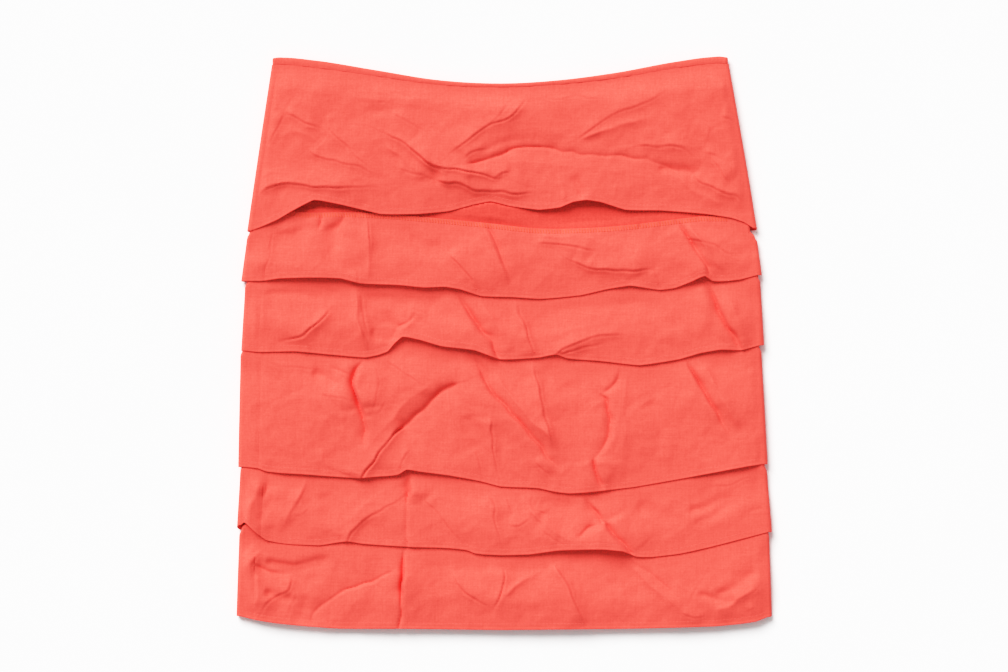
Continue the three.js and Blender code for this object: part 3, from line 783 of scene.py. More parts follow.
# %% Creases of the fourth tier
TIERS[3]["creases"] = [
    valley(5, 1.2, 3.2, (-115, 227), (-123.5, 213), (-125.5, 202), (-121, 189), (-117, 175), fade=0.3),
    crease(1.3, 0.8, (-117, 226), (-126, 212), (-127, 202), (-123, 189), (-119, 178), fade=0.2),
    valley(4, 2, 1.2, (-118, 184), (-116, 170), (-115, 150)),
    rise(4, 1.2, (-146, 219), (-132, 214), (-124, 206)),
    crease(3, 0.7, (-200, 224), (-178, 218), (-150, 216)),
    crease(3, 0.6, (-150, 220), (-132, 210)),
    crease(3, 0.6, (-154, 208), (-128, 197)),
    crease(2.5, 0.6, (-153, 196), (-136, 192), (-122, 190)),
    crease(3, 0.7, (-106, 222), (-105, 204), (-106, 190), (-110, 178)),
    crease(3, 0.5, (-97, 192), (-100, 184), (-106, 177)),
    crease(2.5, 0.7, (-103, 226), (-88, 217), (-70, 205), (-54, 202)),
    rise(4, 2.4, (-38, 205), (-50, 199), (-62, 188.5), (-73, 178), (-85, 167), (-95, 156), fade=0.3),
    crease(6, 2.0, (-82, 171), (-93, 159), (-104, 146), (-114, 131), (-118, 122), fade=0.1),
    ridge(9, 0.3, (-60, 204), (-80, 190), (-98, 170), (-112, 152)),
    crease(3, 0.5, (-147, 180), (-142, 152)),
    crease(3, 0.5, (-149, 151), (-147, 129)),
    crease(3.5, 0.7, (-76, 152), (-83, 140), (-88, 126)),
    valley(4, 1.4, 1.1, (-23, 230), (-17, 210), (-6, 192), (14, 172), (36, 144), (52, 128), fade=0.3),
    ridge(10, 0.8, (-8, 214), (8, 192), (30, 168), (54, 140)),
    hollow(9, 1.1, (-31, 231), (-20, 220), (-10, 206)),
    hollow(10, 0.8, (-160, 215), (-144, 207), (-130, 198)),
    hollow(15, 0.5, (-32, 178), (-24, 160), (-16, 140), (-14, 120)),
    crease(3, 1.3, (-9, 176), (-10, 156), (-4, 122)),
    crease(3, 0.7, (-25, 151), (-20, 138), (-16, 124)),
    ridge(6, 0.4, (22, 226), (27, 202), (34, 174), (39, 148)),
    crease(3, 1.5, (24, 224), (28, 204), (33, 186), (37, 166), (41, 148), fade=0.5),
    crease(2.5, 0.8, (26, 142), (32, 134), (40, 126)),
    valley(1.6, 4, 0.8, (99, 226), (96, 213), (90, 202), (82, 196), fade=0.15),
    valley(4.5, 1.6, 1.1, (80, 196), (86, 188), (89, 170), (83, 152), (76, 140), fade=0.25),
    valley(4.5, 1.6, 1.2, (76, 142), (78, 130), (84, 114)),
    ridge(10, 0.2, (104, 212), (100, 190), (100, 160), (96, 128)),
    valley(3, 1.2, 1.4, (150, 228), (158, 213), (166, 200), (174, 186), (182, 172), (194, 156)),
    ridge(10, 0.8, (164, 222), (180, 194), (198, 164)),
    crease(2.5, 0.6, (209, 218), (214, 194)),
    hollow(14, 0.4, (120, 190), (130, 165), (128, 140)),
    hollow(14, 0.4, (50, 205), (62, 185), (60, 160)),
]
print(len(TIERS[3]["creases"]), "creases")

# %% [markdown]
# The fifth tier is turned up at its left corner and has an upright fold that it shares with the
# sixth. Its creases to the right of the middle lead to the place where its hem gapes.

# %% Creases of the fifth tier
TIERS[4]["creases"] = [
    valley(3, 4, 1.5, (-196, 134), (-197, 118), (-201, 106)),
    ridge(8, 0.6, (-203, 124), (-207, 108), (-216, 89), fade=0.15),
    hollow(7, 0.4, (-204, 88), (-199, 100), (-192, 112)),
    ridge(7, 0.5, (-163, 128), (-168, 114), (-178, 98), (-186, 78)),
    crease(4, 0.5, (-160, 124), (-170, 108), (-180, 92)),
    crease(2.5, 0.6, (-176, 98), (-168, 96), (-158, 103)),
    crease(3, 1.3, (-133, 71), (-123, 84), (-108, 96), (-90, 106), (-80, 113), (-78, 119)),
    ridge(9, 0.2, (-92, 118), (-112, 106), (-134, 86)),
    valley(9, 1.2, 1.9, (-79, 134), (-79, 118), (-80, 102)),
    valley(1.6, 1, 0.3, (-79, 118), (-80, 95), (-81, 66), fade=0.1),
    crease(5, 1.2, (-81, 130), (-88, 125), (-100, 123)),
    crease(3, 0.9, (-66, 107), (-56, 98), (-44, 84), (-30, 68)),
    crease(3.5, 1.1, (-16, 124), (-9, 104), (-5, 84), (2, 62)),
    crease(4.5, 1.4, (-6, 120), (1, 110), (7, 95)),
    crease(3, 0.9, (4, 88), (14, 87), (25, 94)),
    ridge(7, 0.6, (15, 112), (29, 92), (45, 79), (62, 70)),
    crease(4, 1.8, (24, 120), (24, 111), (21, 104)),
    hollow(12, 0.7, (28, 107), (44, 107), (64, 103)),
    valley(3, 1.4, 1.3, (68, 115), (73, 101), (80, 92), (84, 84)),
    valley(5, 1.6, 1.8, (84, 90), (90, 80), (97, 72), (108, 61), fade=0.1),
    rise(5, 1.2, (60, 76), (70, 84), (80, 86)),
    crease(2.5, 0.8, (33, 96), (26, 100), (38, 95)),
    crease(3, 0.6, (28, 87), (40, 76), (54, 68)),
    hollow(7, 0.5, (154, 98), (172, 103), (192, 113)),
    hollow(7, 0.5, (158, 86), (170, 92), (184, 101), (196, 112)),
    crease(4, 0.9, (172, 118), (188, 121), (202, 127), (214, 134)),
    hollow(8, 0.4, (196, 92), (206, 96), (216, 96)),
    hollow(14, 0.4, (110, 105), (128, 95), (140, 80)),
    hollow(14, 0.4, (-150, 115), (-146, 98), (-150, 82)),
]
print(len(TIERS[4]["creases"]), "creases")

# %% [markdown]
# In the sixth tier the upright fold is at its deepest, with a fan of soft folds at the left corner
# and a broad one from the gaping hem down to the right.

# %% Creases of the sixth tier
TIERS[5]["creases"] = [
    valley(9, 0.8, 2.4, (-81, 76), (-82, 60), (-84, 40), (-85, 20)),
    crease(1.2, 1.1, (-82.5, 77), (-83.5, 62), (-85, 46), (-86, 32), fade=0.3),
    valley(1.2, 0.8, 0.5, (-83, 50), (-85, 30), (-85, 12), (-86, -2), fade=0.1),
    crease(3, 0.7, (-142, 72), (-148, 54)),
    hollow(8, 0.9, (-198, 57), (-180, 52), (-162, 54), (-146, 61), (-142, 68)),
    rise(4, 1.4, (-206, 54), (-194, 49), (-180, 47), (-166, 50), (-150, 58), (-143, 68)),
    hollow(11, 0.9, (-200, 33), (-187, 27), (-177, 24), (-168, 27)),
    crease(4, 1.2, (-174, 44), (-178, 34), (-188, 28), (-198, 20), (-206, 8)),
    ridge(8, 0.4, (-205, 47), (-204, 30), (-210, 12)),
    crease(3, 0.6, (-171, 32), (-182, 6)),
    rise(10, 1.5, (-92, 50), (-112, 40), (-135, 32), (-148, 23), (-158, 12), (-161, 2), fade=0.2),
    ridge(7, 0.3, (-96, 47), (-112, 37), (-134, 30), (-146, 20)),
    hollow(10, 0.5, (-164, 30), (-166, 16), (-172, 4)),
    hollow(16, 1.8, (-224, 84), (-216, 74), (-208, 66)),
    ridge(8, 0.5, (-222, 44), (-207, 60), (-194, 74)),
    crease(3, 0.7, (-203, 63), (-209, 50), (-207, 42)),
    crease(6, 2.0, (0, 51), (-1, 38), (-5, 25), (-11, 14)),
    crease(4, 1.6, (-42, 47), (-33, 33), (-20, 23), (-10, 17)),
    ridge(7, 0.4, (-5, 66), (-5, 46)),
    ridge(8, 0.7, (0, 27), (14, 39), (36, 51)),
    ridge(8, 0.5, (40, 54), (50, 38), (60, 18), (67, 2)),
    crease(2.5, 1.1, (42, 54), (52, 38), (62, 18), (69, 3), fade=0.2),
    ridge(10, 0.8, (95, 62), (116, 44), (144, 16)),
    rise(4, 1.2, (93, 71), (108, 57), (128, 43), (150, 22)),
    crease(4, 0.8, (108, 52), (122, 40), (136, 25), (146, 14), (157, 10)),
    crease(3, 0.8, (146, 17), (157, 11), (172, 14)),
    hollow(9, 0.6, (176, 30), (191, 34), (202, 43), (212, 55)),
    hollow(8, 0.5, (160, 30), (180, 24), (200, 24)),
    ridge(9, 0.6, (174, 14), (192, 22), (212, 40)),
    crease(3, 0.5, (190, 22), (204, 30), (217, 42)),
    crease(2.5, 0.5, (201, 13), (210, 19)),
    hollow(14, 0.4, (-60, 40), (-52, 26), (-56, 10)),
]
print(len(TIERS[5]["creases"]), "creases")

# %% [markdown]
# ## How high the cloth lies
#
# Laid flat, the skirt is a pile of sheets: the back tiers, the base skirt's back and front, then the
# front tiers. A front tier starts at a bulky gathered seam, tucked under the hem above. It dips just
# below that hem, so that the hem throws its shadow into the dip: deeper where the hem gapes, hardly
# where it lies close. Then it runs loose to its own hem, which lies on the next tier's seam and is
# lifted here and there. The last tier has nothing left under it, so it sinks to lie on its own back.
#
# On this go the creases and a rumple of several sizes. The turned hem is a flat double band with its
# stitches pulled in. At the end, a soft floor keeps the cloth above what it lies on.

# %% Heights, in millimetres above the table
CLOTH = 0.5
HEM_FOLD = 0.7  # the hem is turned
HEM_WIDTH = 5.0
FRONT_BASE = 5.0  # the top of the base skirt's front
WAIST_LEVEL = 6.6
TUCKED = 7.8
LOW = 6.4  # the dip below a hem that gapes
SHALLOW = 7.6  # and below one that lies close
GAPES = 3.0  # the lift from which a hem gapes
DIP = 14.0
DIP_END = 42.0
LOOSE = 9.8
HEM_LEVEL = 8.8
BOTTOM = 7.2  # the bottom hem
SETTLE = 26.0  # how far above its hem a tier starts to sink to it
COVER = 0.5  # a tier starts to rise this far below the hem that covers it
CLIMB = 21.0
TUCK_INSET = 5.5  # how far in the tucked part is at the sides
EMERGE = 1.6  # and just where it comes out
LIFT_REACH = 34.0
LIFTED = 0.8
SIDE_DROP = 1.1  # the folds at the sides lie a little flatter
SIDE_REACH = 18.0
SLACK = 0.4  # loose cloth lies on air
WANDER, WANDER_SIZE = 1.5, 11  # creases leave their line by this much
VARY, VARY_SIZE = 0.3, 16  # and are deeper here than there
FLOOR_GAP = 0.25
FLOOR_SOFT = 0.35
HEM_SOFT = 0.6
SEAM_DEPTH, SEAM_WIDTH = 0.4, 1.8
# A hem's round edge, its row of stitches and its middle: how far above the hem, height, width.
HEM_FORM = [(0.3, 0.16, 0.7), (HEM_WIDTH - 0.4, -0.12, 0.55), (2.2, -0.06, 0.5)]

# Each kind of rumple has a form, a height, a size and a seed. Facets below 0 stand up as sharp edges.
RUMPLE = [(uneven, 1.0, 46, 0), (uneven, 0.3, 21, 1), (facets, 0.9, 37, 2), (facets, -0.6, 26, 9)]
RUMPLE += [(facets, 0.3, 15, 3), (facets, -0.2, 12, 10), (uneven, 0.04, 4.5, 4)]


def side_top(index):
    return 472.0 if index == 0 else TIERS[index - 1]["hem"][0][1]


def covering_hem(index, x):
    return binding_seam(x) if index == 0 else hem_line(TIERS[index - 1], x)


def sides(index, y):
    """The x of both side folds of a tier, at the height y on its left side."""
    tier = TIERS[index]
    below = side_top(index) - y
    down = np.clip(below / (side_top(index) - tier["hem"][0][1]), 0, 1)
    hidden = TUCK_INSET * (1 - ease(below, -9, -1)) + EMERGE * (1 - ease(below, 0, 5))
    inset = 0 if index == 0 else np.minimum(hidden, TUCK_INSET)
    return blend(*tier["left"], down) + inset, blend(*tier["right"], down) - inset


def pile_height(index, x, below, above_hem):
    """A front tier as the pile carries it, before its creases."""
    if index == 0:
        height = blend(WAIST_LEVEL, LOOSE, ease(below, COVER, COVER + CLIMB))
    else:
        gaping = ease(read(TIERS[index - 1]["hem"], x, 2), 0, GAPES)
        height = blend(TUCKED, blend(SHALLOW, LOW, gaping), ease(below, 0, DIP))
        height = blend(height, LOOSE, ease(below, DIP, DIP_END))
    return blend(BOTTOM if index == LAST else HEM_LEVEL, height, ease(above_hem, 0, SETTLE))


def floor_height(index, x, y, below):
    """The lowest that a front tier may lie."""
    rest = FRONT_BASE + CLOTH + FLOOR_GAP
    if index == LAST:
        return blend(BOTTOM - 1.5, rest, ease(y, 60, 80))
    next_seam = y - read(TIERS[index + 1]["seam"], x)
    return np.where(below < COVER, 0, blend(TUCKED + HEM_FOLD + 0.15, rest, ease(next_seam, 0, 10)))


def front_height(index, x, y):
    """The outer face of a front tier."""
    tier = TIERS[index]
    seed = 100 * index
    below = covering_hem(index, x) - y
    above_hem = y - hem_line(tier, x)
    first, last = sides(index, y)
    inside = np.minimum(x - first, last - x)
    out = ease(below, COVER, COVER + CLIMB)
    free = out * ease(inside, 2, 11)
    height = pile_height(index, x, below, above_hem)
    height -= out * SIDE_DROP * (1 - ease(inside, 0, SIDE_REACH))
    lift = LIFTED * (read(tier["hem"], x, 2) - 1)
    height += free * lift * (1 - ease(above_hem, 0, LIFT_REACH))

    wander = [WANDER * uneven(x, y, WANDER_SIZE, seed + k) for k in (6, 7)]
    drawn = relief(tier["creases"], x + wander[0], y + wander[1])
    height += free * DEEPEN * drawn * (1 + VARY * uneven(x, y, VARY_SIZE, seed + 8))
    rumpled = sum(tall * form(x, y, size, seed + k) for form, tall, size, k in RUMPLE)
    height += free * (rumpled * ease(above_hem, -14, 12) + SLACK)

    # The turned hem is thicker, and unevenly pulled by its stitches. The side seam is drawn in.
    band = 1 - ease(above_hem, HEM_WIDTH - HEM_SOFT, HEM_WIDTH + HEM_SOFT)
    height += out * band * (0.10 + 0.05 * uneven(x, 0 * y, 4.5, seed + 5))
    for at, raised, width in HEM_FORM:
        height += out * raised * dent(above_hem - at, width)
    height -= out * SEAM_DEPTH * dent(x - first - tier["seam_in"], SEAM_WIDTH)

    lowest = floor_height(index, x, y, below)
    return lowest + FLOOR_SOFT * np.logaddexp(0, (height - lowest) / FLOOR_SOFT)


sample = front_height(0, np.array([0.0, 0.0]), np.array([440.0, 360.0]))
print("tier 1 is", sample.round(2), "mm high at two of its points")

# %% [markdown]
# ## Sheets with two faces
#
# Cloth seen at its hem has a thickness, so each piece is a closed shell. It is made from its outer
# face, a fine grid of points with rows from its sewn edge to its loose edge, and the direction in
# which each point's outside lies. The inner face is never seen, so it has only every fourth point of
# the grid, moved in by the cloth's thickness, and a little more where the outer face dips between
# them. Round the loose edge the two are joined by a half circle of rows, as where a hem is turned.

# %% Shells
ROUND = 4  # rows of points round a hem's edge
SPARSE = 4  # the inner face has one point for this many


def lowest_near(values, reach):
    """For each point of a grid, the lowest value within reach rows and columns."""
    for axis in (0, 1):
        spread = [(reach, reach) if a == axis else (0, 0) for a in (0, 1)]
        wide = np.pad(values, spread, mode="edge")
        size = values.shape[axis]
        values = np.min([np.take(wide, range(k, k + size), axis) for k in range(2 * reach + 1)], axis=0)
    return values


def edge_points(points, every_one):
    return points if every_one else points[[0, -1]]


def rim(grid):
    """A mask of the points at the edges of a grid."""
    mask = np.ones(grid.shape, dtype=bool)
    mask[1:-1, 1:-1] = False
    return mask


def cloth_shell(name, outer, outside, thickness, edge_way, material):
    """A closed shell from its outer face. edge_way is -1 where the loose edge faces down the skirt."""
    rows, columns = outer.shape[:2]
    height = outer[..., 2] * outside[..., 2]
    dips = np.where(rim(height), 0, height - lowest_near(height, SPARSE))
    inner = outer - outside * (thickness * MM + dips)[..., None]
    radius = thickness[-1][:, None] * MM / 2
    centre = outer[-1] - outside[-1] * radius
    turned = []
    for k in range(1, ROUND + 1):
        angle = np.pi / 2 - np.pi * k / (ROUND + 1)
        out = np.array([0.0, edge_way, 0.0]) * np.cos(angle)
        turned.append(centre + (out + outside[-1] * np.sin(angle)) * radius)

    # Which points of the inner face are kept: all along its edges, and every fourth within.
    kept_rows = [*range(0, rows - 1, SPARSE), rows - 1]
    kept_columns = [*range(0, columns - 1, SPARSE), columns - 1]
    kept = rim(height)
    kept[np.ix_(kept_rows, kept_columns)] = True
    points = np.concatenate([outer.reshape(-1, 3), np.array(turned).reshape(-1, 3), inner[kept]])
    above = np.arange((rows + ROUND) * columns).reshape(rows + ROUND, columns)
    below = np.zeros((rows, columns), dtype=int)
    below[kept] = above.size + np.arange(kept.sum())

    # The outer face goes on round the hem to the inner one's last row, and its first row to the first.
    sheet = np.concatenate([below[:1], above, below[-1:]])
    quads = np.stack([sheet[:-1, :-1], sheet[1:, :-1], sheet[1:, 1:], sheet[:-1, 1:]], axis=-1)
    faces = quads.reshape(-1, 4).tolist()
    for column, way in ((0, 1), (columns - 1, -1)):
        for i in range(rows - 1):
            a, b = above[i : i + 2, column].tolist()
            c, d = below[i : i + 2, column].tolist()
            faces.append([a, c, d, b][::way])
        faces.append([int(below[-1, column]), *above[rows - 1 :, column].tolist()[::-1]][::way])
    for top, bottom in zip(kept_rows, kept_rows[1:]):
        for start, end in zip(kept_columns, kept_columns[1:]):
            cell = below[top : bottom + 1, start : end + 1]
            loop = [
                edge_points(cell[0], top == 0),
                edge_points(cell[:, -1], end == columns - 1),
                edge_points(cell[-1], bottom == rows - 1)[::-1],
                edge_points(cell[:, 0], start == 0)[::-1],
            ]
            faces.append(list(dict.fromkeys(np.concatenate(loop).tolist())))
    made = mesh_object(name, points.tolist(), faces)
    made.data.materials.append(material)
    return made


def grid_rows(length, step):
    """Where the rows are, 0 at the sewn edge to 1 at the loose one, closer near a turned hem."""
    near = np.array([0.0, 0.5, 1.0, 1.6, 2.2, 2.9, 3.6, 4.2, 4.7, 5.3, 6.1])
    near = near[near < length - step]
    return 1 - np.concatenate([near, np.arange(near[-1] + step, length, step), [length]])[::-1] / length


print("rows in a tier of 90 mm:", len(grid_rows(90, 1.3)))

# %% [markdown]
# ## Fronts and backs
#
# Every piece of this skirt goes round the body, so all have the same two panels. A front panel runs
# from the side seam at the left to the right fold. A back panel goes on from there: round the right
# fold, under the skirt, and up round the left fold to the same seam. A **course** says what both need
# to know: the rows, the side folds of each row, where a row runs on each side, and the heights of its
# outer faces. The two panels are worked out from the same course, so they meet without a gap.

# %% Courses
GAP = 0.04  # between two panels
FRONT_STEP = 0.95  # from one point of the grid to the next
BACK_STEP = 2.4
BACK_ROWS = 1.8
PANEL_WIDTH = 430  # about, for the number of columns
FOLD_STEPS = 7
FOLD_RADIUS = 3.6
TUCKED_RADIUS = 2.3
UP, DOWN = np.array([0.0, 0.0, 1.0]), np.array([0.0, 0.0, -1.0])


def course(rows, sides, radius, seam_in, y, top, low, thick, edge_way=-1):
    """rows: 0 to 1. sides: the x of both folds. y(x, row, back), top(x, y), low(x, y) and thick(...)."""
    first, last = (np.asarray(side)[:, None] for side in sides)
    radius = (radius + 0 * rows)[:, None]
    rows = rows[:, None]
    return SimpleNamespace(**locals())


def columns(step):
    return np.linspace(0, 1, int(PANEL_WIDTH / step))[None, :]


def front_panel(name, run, material, step):
    x = blend(run.first + run.seam_in + GAP / 2, run.last - run.radius - GAP, columns(step))
    y = run.y(x, run.rows, False)
    outer = place(x, y, run.top(x, y))
    outside = np.broadcast_to(UP, outer.shape)
    return cloth_shell(name, outer, outside, run.thick(x, y, False), run.edge_way, material)


def back_panel(name, run, material, step):
    first, last, radius = run.first, run.last, run.radius
    stretches = []  # x, y, z, outside and thickness of each

    def flat(x, back):
        y = run.y(x, run.rows, back)
        z = run.low(x, y) if back else run.top(x, y)
        outside = np.broadcast_to(DOWN if back else UP, x.shape + (3,))
        stretches.append((x, y, z, outside, run.thick(x, y, back)))

    def fold(side, edge, turns):
        centre = edge - side * radius
        y_front, y_back = run.y(centre, run.rows, False), run.y(centre, run.rows, True)
        top, low = run.top(centre, y_front), run.low(centre, y_back)
        x = centre + side * radius * np.cos(turns)
        y = blend(y_back, y_front, (np.sin(turns) + 1) / 2)
        z = (top + low) / 2 + (top - low) / 2 * np.sin(turns)
        outside = np.stack([side * np.cos(turns), 0 * turns, np.sin(turns)], axis=-1)
        outside = np.broadcast_to(outside, x.shape + (3,))
        thick = np.broadcast_to(run.thick(centre, y_front, False), x.shape)
        stretches.append((x, y, z, outside, thick))

    turns = np.linspace(np.pi / 2, -np.pi / 2, 2 * FOLD_STEPS + 1)[None, 1:-1]
    strip = np.linspace(1, 0, max(3, int(run.seam_in / 1.5)))[None, :]
    flat(first + blend(np.minimum(radius, run.seam_in - 0.5), run.seam_in - GAP / 2, strip), False)
    fold(-1, first, turns)
    flat(blend(first + radius, last - radius, columns(step)), True)
    fold(1, last, turns[:, ::-1])
    flat(last - radius, False)
    x, y, z, outside, thick = (np.concatenate([part[k] for part in stretches], axis=1) for k in range(5))
    made = cloth_shell(name, place(x, y, z), outside, thick, run.edge_way, material)
    made.data.flip_normals()  # its columns run the other way round
    return made


def both_panels(name, front_run, back_run, material, steps=(FRONT_STEP, BACK_STEP)):
    made = {
        "front": front_panel(f"{name}_front_cloth", front_run, material, steps[0]),
        "back": back_panel(f"{name}_back_cloth", back_run, material, steps[1]),
    }
    for panel in made.values():
        if front_run.edge_way > 0:
            panel.data.flip_normals()
        print(panel.name, len(panel.data.polygons), "faces")
    return made


print("columns in a front panel:", columns(FRONT_STEP).size)

# %% [markdown]
# ## The six tiers
#
# At the back, a hem is level with the front's at both sides and lower between them, in small waves.
# The back lies flat on the table, with low folds that stand up from it, away from the table.

# %% Tiers
BACK_TUCKED = 1.5  # how far above the table its sewn edge is
BACK_LOW = 0.05
WAVES = [(1.6, 21, 2), (1.1, 9, 1)]  # height, length / 2 pi, and shift from tier to tier


def back_hem(index, x):
    tier = TIERS[index]
    (x0, y0, _), (x1, y1, _) = tier["hem"][0], tier["hem"][-1]
    t = np.clip((x - x0) / (x1 - x0), 0, 1)
    sag = (tier["back_hem"] - (y0 + y1) / 2) * (1 - np.abs(2 * t - 1) ** 2.4)
    wave = sum(tall * np.sin(x / long + shift * index) for tall, long, shift in WAVES)
    return blend(y0, y1, t) + sag + wave * ease(np.minimum(t, 1 - t), 0, 0.12)


def back_height(index, x, y):
    """The outer face of a back tier, which faces the table."""
    cover = binding_seam(x) if index == 0 else back_hem(index - 1, x)
    out = ease(cover - y, COVER, COVER + CLIMB)
    above_hem = y - back_hem(index, x)
    seed = 100 * index + 50
    folds = 0.5 * facets(x, y, 34, seed) + 0.5 * np.clip(uneven(x, y, 24, seed + 1), 0, 1)
    folds += 0.06 * uneven(x, y, 6, seed + 2) + 0.06
    free = out * (ease(above_hem, 0, 40) if index == LAST else ease(above_hem, 4, 26))
    return blend(BACK_TUCKED, BACK_LOW, out) + free * folds


def tier_course(index, step=FRONT_STEP):
    tier = TIERS[index]
    spread = np.arange(-180, 181, 30.0)
    length = float(np.mean(read(tier["seam"], spread) - hem_line(tier, spread)))
    rows = grid_rows(length, step)
    at_side = blend(read(tier["seam"], tier["left"][0]), tier["hem"][0][1], rows)
    out = ease(side_top(index) - at_side, COVER, COVER + CLIMB)

    def hem(x, back):
        return back_hem(index, x) if back else hem_line(tier, x)

    def y(x, row, back):
        return blend(read(tier["seam"], x), hem(x, back), row)

    def thick(x, y, back):
        return blend(HEM_FOLD, CLOTH, ease(y - hem(x, back), HEM_WIDTH - 0.5, HEM_WIDTH + 0.5))

    radius = blend(TUCKED_RADIUS, FOLD_RADIUS, out)
    top, low = partial(front_height, index), partial(back_height, index)
    return course(rows, sides(index, at_side), radius, tier["seam_in"], y, top, low, thick)


tiers = []
for i in range(len(TIERS)):
    tiers.append(both_panels(f"tier_{i + 1}", tier_course(i), tier_course(i, BACK_ROWS), cloth))

# %% [markdown]
# ## The base skirt and the binding
#
# The base skirt is a plain tube that shows only where a hem gapes. Its rows are close together there,
# below the first hem, and far apart in the rest. In that place it bulges up towards the tiers, so the
# band under the hem isn't a dark hole. The binding is one folded strip that closes the waist. It is as
# thick as the layers it holds, round at its top edge, and its seam is drawn in, so it puckers.

# %% Base skirt and binding
BASE_THICK = 0.7
BASE_LOW = 3.0  # its back lies on the back tiers
BASE_TOP_Y, BASE_HEM_Y = 462.0, 88.0  # at its sides
BASE_INSET = (3.2, 8.0)  # how far in from the tiers its sides are, in the binding and below it
BASE_ROWS = [np.linspace(0, 0.21, 12), np.arange(0.22, 0.38, 0.003), np.linspace(0.39, 1, 34)]
BINDING_THICK = 2.4
BINDING_TOP, BINDING_LOW = 6.55, 2.0
BINDING_PUFF = 0.55
BINDING_PUCKER = 0.28
BASE_RUMPLE = 0.25
BASE_CLEAR = 0.35  # how far it stays below the tiers
BULGE_FOOT = 1.7  # the bulge at the second tier's seam
BULGE_TOP = (366, 384)  # where it ends under the first tier, in y
# How far the base skirt bulges up under the first hem.
BASE_BULGE = [(-220, 0), (-150, 0), (-135, 0.7), (-100, 1.4), (-60, 1.8), (-30, 2.6), (-11, 3.4), (6, 2.8)]
BASE_BULGE += [(28, 1.2), (45, 0.3), (62, 0), (80, 0), (100, 0.9), (130, 1.5), (170, 1.2), (200, 0)]


def always(value):
    """A function of x and y that is the same everywhere."""
    return lambda x, y, back=False: np.full((x * y).shape, value)


def outline(side, y):
    """Where the side folds would be at a height y with no steps at the hems."""
    tops = [side_top(i) for i in range(len(TIERS))][::-1]
    folds = [tier[side][0] for tier in TIERS][::-1]
    return np.interp(y, tops, folds)


def base_top(x, y):
    """The outer face of its front, which bulges up but stays below the tiers."""
    above_seam = y - read(TIERS[1]["seam"], x)
    bulge = blend(BULGE_FOOT, read(BASE_BULGE, x), ease(above_seam, 0, 6))
    bulge *= (1 - ease(y, *BULGE_TOP)) * ease(above_seam, -14, -4)
    rumpled = uneven(x, y, 19, 900) + facets(x, y, 12, 901) * ease(bulge, 0, 1)
    over = np.where(y > hem_line(TIERS[0], x) - 1.5, front_height(0, x, y), 99)
    over = np.where(above_seam < 1.5, front_height(1, x, y), over)
    highest = np.maximum(over - CLOTH - BASE_CLEAR, FRONT_BASE)
    return np.minimum(FRONT_BASE + bulge + BASE_RUMPLE * rumpled, highest)


def base_course():
    rows = np.concatenate(BASE_ROWS)
    at_side = blend(BASE_TOP_Y, BASE_HEM_Y, rows)
    inset = blend(*BASE_INSET, ease(rows, 0, 0.06))

    def y(x, row, back):
        return blend(binding_seam(x) - 1.2, read(TIERS[LAST]["seam"], x) - 8, row)

    folds = (outline("left", at_side) + inset, outline("right", at_side) - inset)
    return course(rows, folds, 1.0, 10, y, base_top, always(BASE_LOW), always(BASE_THICK))


def binding_course():
    rows = np.linspace(0, 1, 7)

    def y(x, row, back):
        return blend(binding_seam(x) + 0.02, waist_edge(x) - BINDING_THICK / 2, row)

    def puff(x, y):
        up_strip = np.clip((y - binding_seam(x)) / np.maximum(waist_edge(x) - binding_seam(x), 1), 0, 1)
        pucker = BINDING_PUCKER * uneven(x, 0 * y, 5.0, 910) * (1 - up_strip)
        return BINDING_PUFF * np.sin(np.pi * np.clip(0.12 + 0.8 * up_strip, 0, 1)) + pucker

    def top(x, y):
        return BINDING_TOP + puff(x, y)

    def low(x, y):
        return BINDING_LOW - puff(x, y)

    folds = [np.full(rows.shape, float(TIERS[0][side][0])) for side in ("left", "right")]
    seam_in, thick = TIERS[0]["seam_in"], always(BINDING_THICK)
    return course(rows, folds, TUCKED_RADIUS, seam_in, y, top, low, thick, edge_way=1)


# The base skirt wears the deeper linen, which is painted shade under the first hem.
base = both_panels("base_skirt", base_course(), base_course(), base_cloth, (1.6, 8.0))
binding = both_panels("waist_binding", binding_course(), binding_course(), cloth, (1.2, 3.0))

# %% [markdown]
# ## Stitching
#
# Each hem is held by one row of small stitches, just inside its turned edge. A stitch is a short
# piece of thread that dips into the cloth at both ends, so it is a thin spindle with its ends sunk. The
# second tier's raw edge shows where the first tier's hem lifts, and there a machine has wrapped it
# in orange thread: short slanting stitches over the edge, and a straight row below them.

# %% Thread
THREAD_WIDTH = 0.34
STITCH = 2.3
STITCH_GAP = 0.7
AROUND = 5  # sides of a thread
SPINDLE = [(0, 0.35, 0.6), (0.22, 1, 0), (0.78, 1, 0), (1, 0.35, 0.6)]  # how far along, size, sunk by


def stitches(name, starts, ends, material, width=THREAD_WIDTH):
    """Spindles of thread, in millimetres of the pattern, each from a start to an end."""
    way = ends - starts
    way /= np.linalg.norm(way, axis=1, keepdims=True)
    across = np.cross(way, UP)
    across /= np.linalg.norm(across, axis=1, keepdims=True)
    raised = np.cross(across, way)
    rings = []
    for at, size, sink in SPINDLE:
        middle = starts + (ends - starts) * at - raised * sink * width / 2
        for k in range(AROUND):
            angle = 2 * np.pi * k / AROUND
            spoke = across * np.cos(angle) + raised * np.sin(angle)
            rings.append(middle + spoke * size * width / 2)
    faces = []
    for ring in range(len(SPINDLE) - 1):
        for k in range(AROUND):
            a, b = ring * AROUND + k, ring * AROUND + (k + 1) % AROUND
            faces.append([a, b, b + AROUND, a + AROUND])
    per = len(rings)
    all_faces = (np.array(faces)[None] + per * np.arange(len(starts))[:, None, None]).reshape(-1, 4).tolist()
    for i in range(len(starts)):
        all_faces.append([i * per + k for k in range(AROUND)][::-1])
        all_faces.append([(i + 1) * per - AROUND + k for k in range(AROUND)])
    made = mesh_object(name, place(*np.stack(rings, axis=1).reshape(-1, 3).T).tolist(), all_faces)
    made.data.materials.append(material)
    return made


